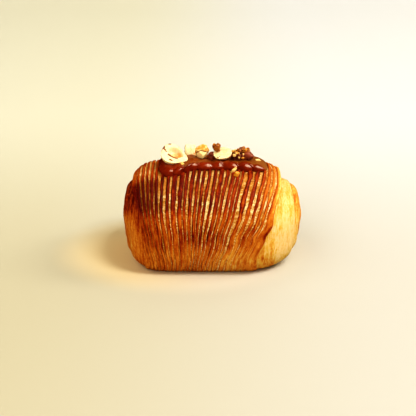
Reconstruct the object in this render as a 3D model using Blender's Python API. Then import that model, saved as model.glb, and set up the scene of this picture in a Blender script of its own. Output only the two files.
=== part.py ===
"""A filled, cross-laminated croissant: a short roll of dough in a ribbed outer wrap, topped with chocolate and nuts.

Metres, +Z up. The roll lies along X and rests on z = 0, with the origin in the middle of its flat underside.
-Y is the front. Angles round the roll run from 0 at the crown through 90 degrees at the front to 180 underneath.
"""

import math
import random

import bmesh
import bpy
import numpy as np
from mathutils import Euler, Vector
from mathutils.bvhtree import BVHTree

MM = 0.001

# The roll
END_REACH = (51.5 * MM, 52.4 * MM)  # from the middle to the tip of each bulging end: left, right
HALF_DEPTH = 38.0 * MM
BELT_Z = 25.0 * MM  # height of the widest line round the roll
CROWN_RISE = 30.0 * MM  # from the belt to the crown
FOOT_DROP = 29.5 * MM  # from the belt down; what falls under z = 0 is pressed flat
CROWN_SQUARENESS = 2.2  # exponents of the rounded outlines: 2 is an ellipse
FOOT_SQUARENESS = 3.3
LEFT_END_SQUARENESS = (7.0, 6.9)  # at the crown, at the foot
RIGHT_END_SQUARENESS = (4.4, 4.5)
END_ROUNDING = (2.5, 1.85)  # at the crown, at the foot
END_TURN = (math.radians(45), math.radians(115))  # where the ends change from crown to foot
END_CENTRE_Z = 20.0 * MM  # the ends sag a little below the belt

# The wrap: the ribbed outer sheet, wide over the crown and drawn in towards the foot
WRAP_LEFT = (46.5 * MM, 40.2 * MM, 38.4 * MM)  # reach to the left at the crown, belt and foot
WRAP_RIGHT = (40.6 * MM, 34.7 * MM, 26.0 * MM)
WRAP_UPPER_TURN = (math.radians(20), math.radians(78))  # where its edges run in to the belt's width
WRAP_LOWER_TURN = (math.radians(76), math.radians(106))  # and from there to the foot's
WRAP_EASE = math.radians(40)  # the ribs away from an edge turn in this much more gently
WRAP_STEP = (3.4 * MM, 0.5 * MM)  # drop from its edge to the layer below: crown, foot
WRAP_STEP_TURN = (math.radians(20), math.radians(110))
# Widths of the ribs in millimetres, over the crown from left to right
RIB_WIDTHS = (
    *(2.4, 2.1, 2.9, 2.5, 2.7, 3.1, 3.7, 3.6, 4.7, 3.9, 3.0, 3.8, 3.3, 2.9),
    *(3.7, 3.5, 4.0, 3.3, 3.5, 2.9, 2.6, 5.1, 3.7, 3.1, 2.9, 2.3, 3.0),
)
RIB_COUNT = len(RIB_WIDTHS)
RIB_LEAN = 0.16  # how far the ribs lean to the left from crown to underside, as a share of the wrap's width
RIB_LEAN_SIDE = 2.1  # exponent that moves the greatest lean towards the right
RIB_HEIGHT = 0.7 * MM
RIB_FADE = 0.5  # share of the height left at the foot
RIB_FADE_TURN = (math.radians(60), math.radians(120))  # where they fade
RIB_SIDE = 0.3  # share of a rib's width that its rising side takes
RIB_SWAY = 0.005  # sideways wander of a rib, as a share of the wrap's width
RIB_SWAY_WAVES = (3, 9)  # waves of it round the roll, and how they shift across the wrap
# How far, in millimetres, the ribs bend off that line at these angles: a row for each place across the wrap
RIB_BEND_TURNS = (15, 26, 42, 55, 66, 80, 93, 105, 115)
RIB_BEND_PLACES = (0.20, 0.45, 0.75, 0.95)
RIB_BENDS = (
    (0.9, 1.0, 0.0, -1.1, -1.7, -1.4, -0.2, 1.0, 1.8),
    (1.1, 0.6, -0.2, -0.9, -1.2, -0.7, 0.4, 1.2, 1.5),
    (-0.5, -0.3, -0.2, 0.4, 0.3, 0.7, 0.4, -0.4, -0.8),
    (0.4, -0.1, -0.1, 0.2, -0.5, -1.4, -1.9, -2.3, -2.9),
)
RIB_BEND_BLUR = 6  # degrees over which a bend is eased
RIB_BEND_RIM = 24  # exponent that takes the bend away towards the wrap's rims
LIP = 0.7  # the wrap's rim stands this share of a rib high
LIP_WIDTH = 0.6  # and is this many ribs wide

# The ends: the roll's inner layers, seen edge on as soft folds, one inside the other
FOLD_PITCH = 0.24  # share of the roll's radius that one layer takes
FOLD_PHASE = (0.67, 0.61)  # where the outer fold line crosses the crown at the left and the right
FOLD_DEPTH = (3.0 * MM, 0.8 * MM)  # at the crown, at the foot
FOLD_ROUNDNESS = 0.6  # exponent of a fold's swell: under 1 it is full, with a narrow crease
FOLD_MEAN = 0.6  # share of that depth which lies below the roll's own outline
FOLD_BEFORE = -0.5  # outside the outer fold line the last layer swells this far, in layers
FOLD_FADE = 0.15  # share of the roll's radius over which the folds fade towards its tip
FOLD_SLOPE = (0.0, 1.8 * MM)  # how far the crown's first layer lies lower, midway: left, right
FOLD_SHIFT = 0.27  # the folds lie off centre, towards the back, by this share of a layer
# Columns of the mesh on an end: up to 1 between the wrap and the outer fold line, then one layer a unit
FOLD_STATIONS = (0.0, 0.15, 0.4, 0.7, 1.0, 1.2, 1.5, 1.8, 2.0, 2.25, 2.6)

# The chocolate, piped to and fro across the crown, so that its rim is a row of lobes
GLAZE_CENTRE_Y = 3.5 * MM
GLAZE_SQUARENESS = 5.0
GLAZE_THICKNESS = 2.9 * MM
GLAZE_ROUNDNESS = 0.5  # exponent of its top's outline: under 1 is full, with a steep rim
GLAZE_SPREAD = 0.6  # exponent that crowds its mesh towards the rim
GLAZE_REACH = 0.98  # share of the roll's half depth beyond which its bed falls no further
GLAZE_BED = 0.45 * MM  # clearance over the ribs, so that the two solids stay apart
LOBE_VALLEYS = [v * MM for v in (-31.2, -22.3, -16.4, -8.6, 0.3, 6.8, 15.8, 24.1, 33.0)]
LOBE_FRONTS = [v * MM for v in (17.6, 14.6, 9.0, 8.4, 8.2, 8.6, 9.4, 9.4)]  # how far each lobe comes forward
LOBE_BACKS = [v * MM for v in (14.0, 15.5, 16.6, 15.8, 16.8, 16.0, 16.4, 14.6)]
LOBE_DEPTH = 1.8 * MM  # how far the rim falls back between two lobes
LOBE_HOLLOW = 0.45  # and how much thinner the chocolate is there
LOBE_ROUNDNESS = 0.6  # exponent of a lobe's outline

# The toppings. A nut's place is the middle of its cut face; a broken piece's is its own middle.
# point is how far a half nut's point is drawn out, taper how much the nut narrows towards it, as shares.
SEAT_GAP = 0.3 * MM  # round a topping that is sunk in the chocolate
LARGE_HALF = {
    "size": (16.4, 13.4, 6.6), "place": (-22.0, -3.7, 63.3),
    "turn": (34, 21, -6), "hollow": 0.34, "point": 0.18, "taper": 0.22,
}
SMALL_HALF = {
    "size": (11.4, 7.8, 5.0), "place": (6.4, -2.0, 63.4),
    "turn": (46, -6, 6), "hollow": 0.08, "point": 0.05, "taper": 0.0,
}
NUT_HOLLOW_REACH = (0.25, 0.72)  # the hollow's flat floor and its brim, as shares of the way out
NUT_HOLLOW_NARROWNESS = 1.25  # how much narrower than long it is
NUT_HOLLOW_PLACE = (0.08, 0.20)  # its middle, as shares of the half length and half width
CHIP_COUNT = 6  # flat breaks on a broken piece
CHIP_DEPTH = (0.55, 0.8)  # how far from its middle they lie, as a share of its half size
CHIP_SHARPNESS = 0.85  # 1 is a flat break, 0 none
CHIP_GRAIN = (0.94, 1.12)  # unevenness of its surface
ROASTED_PIECE = {"size": (8.8, 8.0, 9.2), "place": (-5.2, 1.4, 62.6), "seed": 2}
PALE_PIECE = {"size": (6.6, 6.4, 8.2), "place": (-12.6, 9.0, 60.3), "seed": 4, "squareness": 5, "chips": 2}
CARAMEL_CORE = {"size": (3.6, 3.2, 5.0), "place": (2.9, -1.6, 66.2), "seed": 21}
CARAMEL_CRYSTALS = [
    {"size": (2.5, 2.4, 3.0), "place": (4.0, -1.0, 67.8), "seed": 22},
    {"size": (2.2, 2.4, 2.6), "place": (1.7, -1.2, 67.7), "seed": 23},
]
PRALINE_CORE = {"size": (12.0, 8.4, 5.6), "place": (18.4, 2.0, 60.0), "seed": 31}
PRALINE_NUGGETS = [
    {"size": (4.8, 4.2, 4.8), "place": (16.0, 0.4, 63.2), "seed": 41},
    {"size": (4.0, 3.8, 3.6), "place": (20.4, 1.6, 63.4), "seed": 42},
    {"size": (4.2, 3.6, 3.6), "place": (14.4, -1.6, 61.8), "seed": 43},
    {"size": (3.8, 3.2, 3.0), "place": (17.4, -1.4, 61.0), "seed": 44},
    {"size": (3.8, 3.4, 3.4), "place": (14.2, 3.0, 62.0), "seed": 45},
    {"size": (6.6, 4.6, 4.6), "place": (22.0, -1.2, 61.5), "seed": 46},
    {"size": (4.0, 3.6, 3.4), "place": (18.0, 4.4, 62.6), "seed": 47},
    {"size": (3.8, 3.4, 3.2), "place": (21.6, 3.6, 61.0), "seed": 48},
]
# Small bits are raised by the height of what carries them; one given at z = 0 is sunk by half its height
GLAZE_BITS = [
    {"size": (5.0, 4.4, 7.4), "place": (0.4, 1.6, 1.1), "seed": 51},
    {"size": (3.6, 1.8, 1.6), "place": (-17.2, -7.2, 0), "seed": 52},
    {"size": (4.0, 2.4, 1.6), "place": (27.4, 2.3, 0), "seed": 53},
    {"size": (3.6, 3.2, 3.6), "place": (-21.0, 9.6, 0), "seed": 55},
    {"size": (3.2, 2.8, 3.0), "place": (-4.2, 11.0, 0), "seed": 56},
    {"size": (3.8, 3.0, 3.2), "place": (9.4, 10.2, 0), "seed": 57},
]
CRUST_BITS = [
    {"size": (2.4, 2.2, 4.0), "place": (12.9, -10.3, 0.8), "seed": 54},
    {"size": (4.4, 3.2, 3.8), "place": (14.5, -14.2, 0.3), "seed": 58},
]

# Mesh resolution
ROWS = 40  # round the roll
GLAZE_ROWS = 104
GLAZE_COLUMNS = 10
NUT_ROWS = 18
NUT_COLUMNS = 14
PIECE_DETAIL = 2  # subdivisions of a broken piece
CURVE_SAMPLES = 4001  # of a closed outline, when points are spaced along it
ABOVE = 1.0  # metres: a height over everything, from which a carrier is looked for


def smoothstep(low, high, value):
    share = np.clip((value - low) / (high - low), 0.0, 1.0)
    return share * share * (3.0 - 2.0 * share)


def between(pair, share):
    return pair[0] + (pair[1] - pair[0]) * share


def signed_power(value, power):
    return np.sign(value) * np.abs(value) ** power


def from_crown(angle):
    """How far round from the crown, 0 to pi on either side."""
    return np.abs((angle + math.pi) % (2 * math.pi) - math.pi)


# ---- the roll's own surface


def section(angle):
    """(y, z) of the roll's outline at mid-length, and its outward normal."""
    upper = np.cos(angle) > 0
    power = np.where(upper, CROWN_SQUARENESS, FOOT_SQUARENESS)
    rise = np.where(upper, CROWN_RISE, FOOT_DROP)
    across = -signed_power(np.sin(angle), 2 / power)
    along = signed_power(np.cos(angle), 2 / power)
    normal = np.stack([signed_power(across, power - 1) / HALF_DEPTH, signed_power(along, power - 1) / rise])
    normal /= np.linalg.norm(normal, axis=0)
    return HALF_DEPTH * across, BELT_Z + rise * along, normal


def end_form(angle, side):
    """An end's reach, and the two exponents of its outline, at an angle round the roll."""
    foot = smoothstep(*END_TURN, from_crown(angle))
    power = np.where(side < 0, between(LEFT_END_SQUARENESS, foot), between(RIGHT_END_SQUARENESS, foot))
    return np.where(side < 0, *END_REACH), power, between(END_ROUNDING, foot)


def wrap_edge(angle, side, inside=0.0):
    """How far the wrap reaches from the middle, towards one side, as a rib that far inside its edge has it."""
    ease = WRAP_EASE * inside
    upper = smoothstep(WRAP_UPPER_TURN[0] - ease, WRAP_UPPER_TURN[1] + ease, from_crown(angle))
    lower = smoothstep(WRAP_LOWER_TURN[0] - ease, WRAP_LOWER_TURN[1] + ease, from_crown(angle))
    reach = [crown + (belt - crown) * upper + (foot - belt) * lower for crown, belt, foot in (WRAP_LEFT, WRAP_RIGHT)]
    return np.where(side < 0, *reach)


def raised(x, angle, lift):
    """The roll's surface at x and angle, lifted along its normal."""
    side = np.sign(x) + (x == 0)
    tip, power, rounding = end_form(angle, side)
    reach = np.clip(np.abs(x) / tip, 0.0, 1.0)
    share = (1.0 - reach**power) ** (1 / rounding)
    y, z, normal = section(angle)
    lengthways = power * reach ** (power - 1) / tip
    outwards = rounding * share ** (rounding - 1) / np.hypot(y, z - END_CENTRE_Z)
    steepness = np.hypot(lengthways, outwards)
    lengthways, outwards = side * lengthways / steepness, outwards / steepness
    return np.stack(
        [
            x + lift * lengthways,
            share * y + lift * outwards * normal[0],
            np.maximum(END_CENTRE_Z + share * (z - END_CENTRE_Z) + lift * outwards * normal[1], 0.0),
        ],
        axis=-1,
    )


def rib_edges():
    """Where the grooves between ribs lie across the wrap, from 0 to 1."""
    return np.concatenate([[0.0], np.cumsum(RIB_WIDTHS) / sum(RIB_WIDTHS)])


def rib_bend(across, angle):
    """Sideways bend of the ribs; the wrap's own rims stay where they are."""
    turn = np.degrees(from_crown(angle))
    total = 0.0
    for place, bends in enumerate(RIB_BENDS):
        share = np.interp(across, RIB_BEND_PLACES, np.arange(len(RIB_BENDS)) == place)
        eased = [np.interp(turn + step, RIB_BEND_TURNS, bends) for step in (-RIB_BEND_BLUR, 0, RIB_BEND_BLUR)]
        total = total + share * sum(eased) / len(eased)
    return total * MM * (1 - np.abs(2 * across - 1) ** RIB_BEND_RIM)


def rib_relief(across, angle):
    """Height of the ribs at a place across the wrap, from 0 to 1."""
    edges = rib_edges()
    rib = np.clip(np.searchsorted(edges, across, side="right") - 1, 0, RIB_COUNT - 1)
    share = (across - edges[rib]) / (edges[rib + 1] - edges[rib])
    relief = smoothstep(0, RIB_SIDE, share) * (1 - smoothstep(1 - RIB_SIDE, 1, share))
    return relief * (1 - (1 - RIB_FADE) * smoothstep(*RIB_FADE_TURN, from_crown(angle)))


def wrap_surface(across, angle):
    """The wrap's outer face, across it from 0 at the left rim to 1 at the right rim."""
    sway = RIB_SWAY * np.sin(RIB_SWAY_WAVES[0] * angle + RIB_SWAY_WAVES[1] * across) * np.sin(math.pi * across)
    lean = RIB_LEAN * np.sin(math.pi * across**RIB_LEAN_SIDE) * from_crown(angle) / math.pi
    left = wrap_edge(angle, -1, across)
    right = wrap_edge(angle, 1, 1 - across)
    rim_distance = np.minimum(across, 1 - across) * RIB_COUNT
    lip = LIP * (1 - smoothstep(0, LIP_WIDTH, rim_distance))
    relief = np.maximum(rib_relief(across, angle), lip)
    x = -left + (left + right) * (across + sway - lean) + rib_bend(across, angle)
    return raised(x, angle, RIB_HEIGHT * relief)


def end_surface(station, angle, side):
    """An end's face: station 0 is under the wrap's rim, 1 the outer fold line, and each unit more one layer."""
    tip, power, rounding = end_form(angle, side)
    shift = FOLD_SHIFT * np.sin(angle)
    fold_line = np.where(side < 0, *FOLD_PHASE) - FOLD_PITCH * (np.maximum(station - 1, 0) + shift)
    rim = (1 - (wrap_edge(angle, side) / tip) ** power) ** (1 / rounding)
    share = between((rim, fold_line), np.minimum(station, 1))
    x = side * tip * (1 - share**rounding) ** (1 / power)

    layer = np.where(station < 1, np.maximum((fold_line - share) / FOLD_PITCH, FOLD_BEFORE), station - 1)
    fold = np.abs(np.sin(math.pi * layer)) ** FOLD_ROUNDNESS - FOLD_MEAN
    foot = smoothstep(*WRAP_STEP_TURN, from_crown(angle))
    out = smoothstep(0, 1, station)
    depth = between(FOLD_DEPTH, foot) * fold * out * smoothstep(0, FOLD_FADE, share)
    slope = np.where(side < 0, *FOLD_SLOPE) * (1 - foot) * np.sin(math.pi * np.minimum(station, 1))
    return raised(x, angle, depth - slope - between(WRAP_STEP, foot) * (1 - out))


def crown_height(x, y):
    """z of the rib tops over a place near the crown."""
    tip, power, rounding = end_form(np.zeros_like(x), np.sign(x) + (x == 0))
    share = (1.0 - (np.abs(x) / tip) ** power) ** (1 / rounding)
    reach = np.clip(np.abs(y) / share / HALF_DEPTH, 0.0, GLAZE_REACH)
    z = BELT_Z + CROWN_RISE * (1 - reach**CROWN_SQUARENESS) ** (1 / CROWN_SQUARENESS)
    return END_CENTRE_Z + share * (z - END_CENTRE_Z) + RIB_HEIGHT


# ---- the chocolate's surface


def lobe(x):
    """1 in the middle of a lobe of the chocolate's rim, 0 in the valley between two."""
    valleys = np.array(LOBE_VALLEYS)
    i = np.clip(np.searchsorted(valleys, x, side="right") - 1, 0, len(valleys) - 2)
    return np.abs(np.sin(math.pi * (x - valleys[i]) / (valleys[i + 1] - valleys[i]))) ** LOBE_ROUNDNESS


def glaze_rim(around):
    """The chocolate's rim in plan, at a direction from its middle: (x, y)."""
    middle, half = (LOBE_VALLEYS[0] + LOBE_VALLEYS[-1]) / 2, (LOBE_VALLEYS[-1] - LOBE_VALLEYS[0]) / 2
    x = middle + half * signed_power(np.cos(around), 2 / GLAZE_SQUARENESS)
    lobe_middles = [(a + b) / 2 for a, b in zip(LOBE_VALLEYS, LOBE_VALLEYS[1:])]
    front = GLAZE_CENTRE_Y + np.interp(x, lobe_middles, LOBE_FRONTS)
    back = np.interp(x, lobe_middles, LOBE_BACKS) - GLAZE_CENTRE_Y
    reach = np.where(np.sin(around) < 0, front, back) - LOBE_DEPTH * (1 - lobe(x))
    return x, GLAZE_CENTRE_Y + reach * signed_power(np.sin(around), 2 / GLAZE_SQUARENESS)


def glaze_point(reach, around, swell):
    """A place on the chocolate: reach 0 is its middle, 1 its rim; swell 0 its underside, 1 full thickness."""
    rim_x, rim_y = glaze_rim(around)
    middle = (LOBE_VALLEYS[0] + LOBE_VALLEYS[-1]) / 2
    x = middle + reach * (rim_x - middle)
    y = GLAZE_CENTRE_Y + reach * (rim_y - GLAZE_CENTRE_Y)
    thickness = GLAZE_THICKNESS * swell * (1 - LOBE_HOLLOW * reach**2 * (1 - lobe(x)))
    return np.stack([x, y, crown_height(x, y) + GLAZE_BED + thickness], axis=-1)


def even_rim(count):
    """Directions from the chocolate's middle that are evenly spaced along its rim."""
    fine = np.linspace(0, 2 * math.pi, CURVE_SAMPLES)
    x, y = glaze_rim(fine)
    length = np.concatenate([[0], np.cumsum(np.hypot(np.diff(x), np.diff(y)))])
    return np.interp(np.arange(count) / count * length[-1], length, fine)


# ---- building blocks


def new_object(name, mesh, material, collection):
    obj = bpy.data.objects.new(name, mesh)
    mesh.materials.append(material)
    collection.objects.link(obj)
    return obj


def new_collection(name):
    collection = bpy.data.collections.new(name)
    bpy.context.scene.collection.children.link(collection)
    return collection


def sphere_grid(rows, columns):
    """A sphere's mesh, with each vertex's ring (0 and columns are the poles) and its row round them."""
    mesh = bpy.data.meshes.new("grid")
    shape = bmesh.new()
    bmesh.ops.create_uvsphere(shape, u_segments=rows, v_segments=columns, radius=1.0)
    shape.to_mesh(mesh)
    shape.free()
    points = np.array([vertex.co for vertex in mesh.vertices], float)
    ring = np.rint(np.arccos(np.clip(points[:, 2], -1, 1)) / math.pi * columns).astype(int)
    around = np.arctan2(points[:, 1], points[:, 0]) % (2 * math.pi)
    return mesh, ring, np.rint(around / (2 * math.pi) * rows).astype(int) % rows


def reshape(mesh, points):
    """Moves a mesh's vertices to new places, and turns its faces to point out."""
    mesh.vertices.foreach_set("co", points.astype(np.float32).ravel())
    shape = bmesh.new()
    shape.from_mesh(mesh)
    bmesh.ops.recalc_face_normals(shape, faces=shape.faces)
    shape.to_mesh(mesh)
    shape.free()


def even_angles(count):
    """Angles that are evenly spaced along the roll's outline."""
    fine = np.linspace(0, 2 * math.pi, CURVE_SAMPLES)
    y, z, _ = section(fine)
    length = np.concatenate([[0], np.cumsum(np.hypot(np.diff(y), np.diff(np.maximum(z, 0))))])
    return np.interp(np.arange(count) / count * length[-1], length, fine)


def combine(obj, operation, others, solver="EXACT"):
    """Joins or cuts obj with the objects of a collection, applies that, and removes them."""
    modifier = obj.modifiers.new("combine", "BOOLEAN")
    modifier.operation = operation
    modifier.solver = solver
    modifier.operand_type = "COLLECTION"
    modifier.collection = others
    bpy.context.view_layer.update()
    evaluated = obj.evaluated_get(bpy.context.evaluated_depsgraph_get())
    combined = bpy.data.meshes.new_from_object(evaluated)
    obj.modifiers.clear()
    obj.data = combined
    for other in list(others.objects):
        bpy.data.objects.remove(other)
    bpy.data.collections.remove(others)


def place_mesh(mesh, place, turn=(0, 0, 0)):
    """Turns a mesh by Euler angles in degrees and moves it to a place in millimetres."""
    matrix = Euler([math.radians(a) for a in turn]).to_matrix().to_4x4()
    matrix.translation = Vector(place) * MM
    mesh.transform(matrix)


def plain_material(name, colour, roughness):
    material = bpy.data.materials.new(name)
    material.use_nodes = True
    shader = material.node_tree.nodes["Principled BSDF"]
    shader.inputs["Base Color"].default_value = (*colour, 1.0)
    shader.inputs["Roughness"].default_value = roughness
    shader.inputs["Metallic"].default_value = 0.0
    material.diffuse_color = (*colour, 1.0)
    return material


def settle(obj, carrier):
    """Raises a small bit by the height of its carrier there."""
    places = [vertex.co.to_tuple() for vertex in carrier.data.vertices]
    tree = BVHTree.FromPolygons(places, [face.vertices[:] for face in carrier.data.polygons])
    middle = sum((vertex.co for vertex in obj.data.vertices), Vector()) / len(obj.data.vertices)
    surface = tree.ray_cast(Vector((middle.x, middle.y, ABOVE)), Vector((0, 0, -1)))[0]
    for vertex in obj.data.vertices:
        vertex.co.z += surface.z


def broken_piece(name, material, collection, size, place, seed, squareness=2, chips=CHIP_COUNT):
    """An irregular broken piece: a ball pushed in and out, and chipped flat on a few sides.

    squareness is the exponent of its outline: 2 is a ball, more is a block with round corners.
    """
    random_source = random.Random(seed)
    mesh = bpy.data.meshes.new(name)
    shape = bmesh.new()
    bmesh.ops.create_icosphere(shape, subdivisions=PIECE_DETAIL, radius=1.0)
    breaks = []
    for _ in range(chips):
        facing = Vector([random_source.gauss(0, 1) for _ in range(3)]).normalized()
        breaks.append((facing, random_source.uniform(*CHIP_DEPTH)))
    for vertex in shape.verts:
        vertex.co *= random_source.uniform(*CHIP_GRAIN)
        vertex.co *= sum(abs(c) ** squareness for c in vertex.co.normalized()) ** (-1 / squareness)
        for facing, limit in breaks:
            vertex.co -= facing * max(vertex.co.dot(facing) - limit, 0) * CHIP_SHARPNESS
        vertex.co *= Vector(size) * MM / 2
    shape.to_mesh(mesh)
    shape.free()
    place_mesh(mesh, place)
    return new_object(name, mesh, material, collection)


def nut_half(name, material, collection, size, place, turn, hollow, point, taper, grow=0.0):
    """Half a hazelnut, cut face up and its point at +X: length, width and depth in millimetres.

    hollow is the depth of the hollow in its cut face, as a share of its own. grow makes the nut larger
    all round by that much, for the seat that it sits in.
    """
    mesh, ring, row = sphere_grid(NUT_ROWS, NUT_COLUMNS)
    tilt, around = ring / NUT_COLUMNS * math.pi, row / NUT_ROWS * 2 * math.pi
    x, y = np.sin(tilt) * np.cos(around), np.sin(tilt) * np.sin(around)
    face = tilt < math.pi / 2
    away = np.hypot(x - NUT_HOLLOW_PLACE[0], (y - NUT_HOLLOW_PLACE[1]) * NUT_HOLLOW_NARROWNESS)
    floor = 1 - smoothstep(*NUT_HOLLOW_REACH, away)
    z = np.where(face, -hollow * floor, np.cos(tilt))
    length = 1 + point * np.maximum(x, 0) ** 3
    width = (2 - length) * (1 - taper * x)
    half = np.array([size[0] / (2 + point), size[1] / 2, size[2]]) * MM + grow
    points = np.stack([x * length * half[0], y * width * half[1], z * half[2] + grow * face], axis=-1)
    reshape(mesh, points)
    place_mesh(mesh, place, turn)
    return new_object(name, mesh, material, collection)


# ---- the pieces


def make_croissant(collection, material):
    edges = rib_edges()
    shares = (0, RIB_SIDE, 1 - RIB_SIDE)
    stations = [edges[i] + share * (edges[i + 1] - edges[i]) for i in range(RIB_COUNT) for share in shares]
    stations = np.array(stations + [1.0])
    end_stations = np.array(FOLD_STATIONS)
    last_left, last_wrap = len(end_stations), len(end_stations) + len(stations)
    columns = last_wrap + len(end_stations) + 1
    mesh, ring, row = sphere_grid(ROWS, columns)
    angle = even_angles(ROWS)[row]

    points = np.zeros((len(ring), 3))
    left = (ring >= 1) & (ring <= last_left)
    wrap = (ring > last_left) & (ring <= last_wrap)
    right = (ring > last_wrap) & (ring < columns)
    points[left] = end_surface(end_stations[last_left - ring[left]], angle[left], -1)
    points[wrap] = wrap_surface(stations[ring[wrap] - last_left - 1], angle[wrap])
    points[right] = end_surface(end_stations[ring[right] - last_wrap - 1], angle[right], 1)
    points[ring == 0] = (-END_REACH[0], 0, END_CENTRE_Z)
    points[ring == columns] = (END_REACH[1], 0, END_CENTRE_Z)
    reshape(mesh, points)
    croissant = new_object("croissant", mesh, material, collection)
    bits = new_collection("crust_bits")
    for bit in CRUST_BITS:
        settle(broken_piece("bit", material, bits, **bit), croissant)
    combine(croissant, "UNION", bits)


def make_glaze(collection, material):
    mesh, ring, row = sphere_grid(GLAZE_ROWS, GLAZE_COLUMNS)
    tilt = ring / GLAZE_COLUMNS * math.pi
    swell = np.where(tilt < math.pi / 2 + 0.01, np.abs(np.cos(tilt)) ** GLAZE_ROUNDNESS, 0.0)
    reshape(mesh, glaze_point(np.sin(tilt) ** GLAZE_SPREAD, even_rim(GLAZE_ROWS)[row], swell))
    glaze = new_object("chocolate_glaze", mesh, material, collection)
    bits = new_collection("glaze_bits")
    for bit in GLAZE_BITS:
        settle(broken_piece("bit", material, bits, **bit), glaze)
    combine(glaze, "UNION", bits, "MANIFOLD")
    seats = new_collection("seats")
    for nut in (LARGE_HALF, SMALL_HALF):
        nut_half("seat", material, seats, **nut, grow=SEAT_GAP)
    for piece in (ROASTED_PIECE, PALE_PIECE, PRALINE_CORE, *PRALINE_NUGGETS):
        larger = [length + 2 * SEAT_GAP / MM for length in piece["size"]]
        broken_piece("seat", material, seats, **{**piece, "size": larger})
    combine(glaze, "DIFFERENCE", seats, "MANIFOLD")


def make_heap(name, material, collection, core, pieces):
    """A core with smaller broken pieces fused to it."""
    heap = broken_piece(name, material, collection, **core)
    others = new_collection(name + "_pieces")
    for piece in pieces:
        broken_piece("piece", material, others, **piece)
    combine(heap, "UNION", others)


def clear_scene():
    for obj in list(bpy.data.objects):
        bpy.data.objects.remove(obj)


def main():
    clear_scene()
    parts = new_collection("filled_croissant")
    crust = plain_material("browned_crust", (0.50, 0.17, 0.03), 0.45)
    chocolate = plain_material("chocolate", (0.16, 0.035, 0.01), 0.25)
    pale_nut = plain_material("pale_nut", (0.86, 0.70, 0.36), 0.55)
    roasted_nut = plain_material("roasted_nut", (0.72, 0.42, 0.10), 0.55)
    caramel = plain_material("caramel", (0.30, 0.07, 0.02), 0.3)
    make_croissant(parts, crust)
    make_glaze(parts, chocolate)
    nut_half("hazelnut_half_large", pale_nut, parts, **LARGE_HALF)
    nut_half("hazelnut_half_small", pale_nut, parts, **SMALL_HALF)
    broken_piece("hazelnut_piece_roasted", roasted_nut, parts, **ROASTED_PIECE)
    broken_piece("hazelnut_piece_pale", pale_nut, parts, **PALE_PIECE)
    make_heap("caramel_crystals", caramel, parts, CARAMEL_CORE, CARAMEL_CRYSTALS)
    make_heap("praline_crumbs", caramel, parts, PRALINE_CORE, PRALINE_NUGGETS)


main()
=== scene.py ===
"""Looks of the filled croissant: its crust, chocolate, nuts and praline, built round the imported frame.

Metres, +Z up, -Y is the front. Shapes are given in millimetres and turned to metres as each mesh is made.
Angles round the roll run from 0 at the crown through 90 degrees at the front to 180 underneath.
"""

import math
import random

import bmesh
import bpy
import numpy as np
from mathutils import Euler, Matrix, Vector
from mathutils.bvhtree import BVHTree


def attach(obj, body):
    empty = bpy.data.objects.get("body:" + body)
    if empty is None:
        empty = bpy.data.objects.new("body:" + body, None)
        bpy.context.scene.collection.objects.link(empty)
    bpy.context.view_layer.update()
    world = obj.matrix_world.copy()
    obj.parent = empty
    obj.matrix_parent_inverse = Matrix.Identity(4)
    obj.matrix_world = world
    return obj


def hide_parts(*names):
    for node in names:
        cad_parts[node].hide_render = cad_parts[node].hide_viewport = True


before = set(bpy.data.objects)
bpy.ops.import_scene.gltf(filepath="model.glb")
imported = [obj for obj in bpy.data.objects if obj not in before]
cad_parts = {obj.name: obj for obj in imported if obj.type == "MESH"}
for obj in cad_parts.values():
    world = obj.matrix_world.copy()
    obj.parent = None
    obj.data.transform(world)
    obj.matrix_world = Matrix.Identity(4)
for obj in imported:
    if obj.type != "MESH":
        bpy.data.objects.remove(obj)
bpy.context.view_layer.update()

MM = 0.001

# ---- the roll's form, as the solids have it (millimetres)

END_REACH = (51.5, 52.4)  # from the middle to the tip of each bulging end: left, right
HALF_DEPTH = 38.0
BELT_Z = 25.0
CROWN_RISE = 30.0
FOOT_DROP = 29.5  # from the belt down; what falls under z = 0 is pressed flat
CROWN_SQUARENESS = 2.2
FOOT_SQUARENESS = 3.3
LEFT_END_SQUARENESS = (7.0, 6.9)  # at the crown, at the foot
RIGHT_END_SQUARENESS = (4.4, 4.5)
END_ROUNDING = (2.5, 1.85)
END_TURN = (math.radians(45), math.radians(115))
END_CENTRE_Z = 20.0

WRAP_LEFT = (46.5, 40.2, 38.4)  # the ribbed wrap's reach to the left at the crown, belt and foot
WRAP_RIGHT = (40.6, 34.7, 26.0)
WRAP_UPPER_TURN = (math.radians(20), math.radians(78))
WRAP_LOWER_TURN = (math.radians(76), math.radians(106))
WRAP_EASE = math.radians(40)
WRAP_STEP = (3.4, 0.5)
WRAP_STEP_TURN = (math.radians(20), math.radians(110))
# Widths of the ribs over the crown, from left to right
RIB_WIDTHS = (
    *(2.4, 2.1, 2.9, 2.5, 2.7, 3.1, 3.7, 3.6, 4.7, 3.9, 3.0, 3.8, 3.3, 2.9),
    *(3.7, 3.5, 4.0, 3.3, 3.5, 2.9, 2.6, 5.1, 3.7, 3.1, 2.9, 2.3, 3.0),
)
RIB_COUNT = len(RIB_WIDTHS)
RIB_LEAN = 0.16
RIB_LEAN_SIDE = 2.1
RIB_HEIGHT = 0.7
RIB_FADE = 0.5
RIB_FADE_TURN = (math.radians(60), math.radians(120))
RIB_SWAY = 0.005
RIB_SWAY_WAVES = (3, 9)
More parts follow.
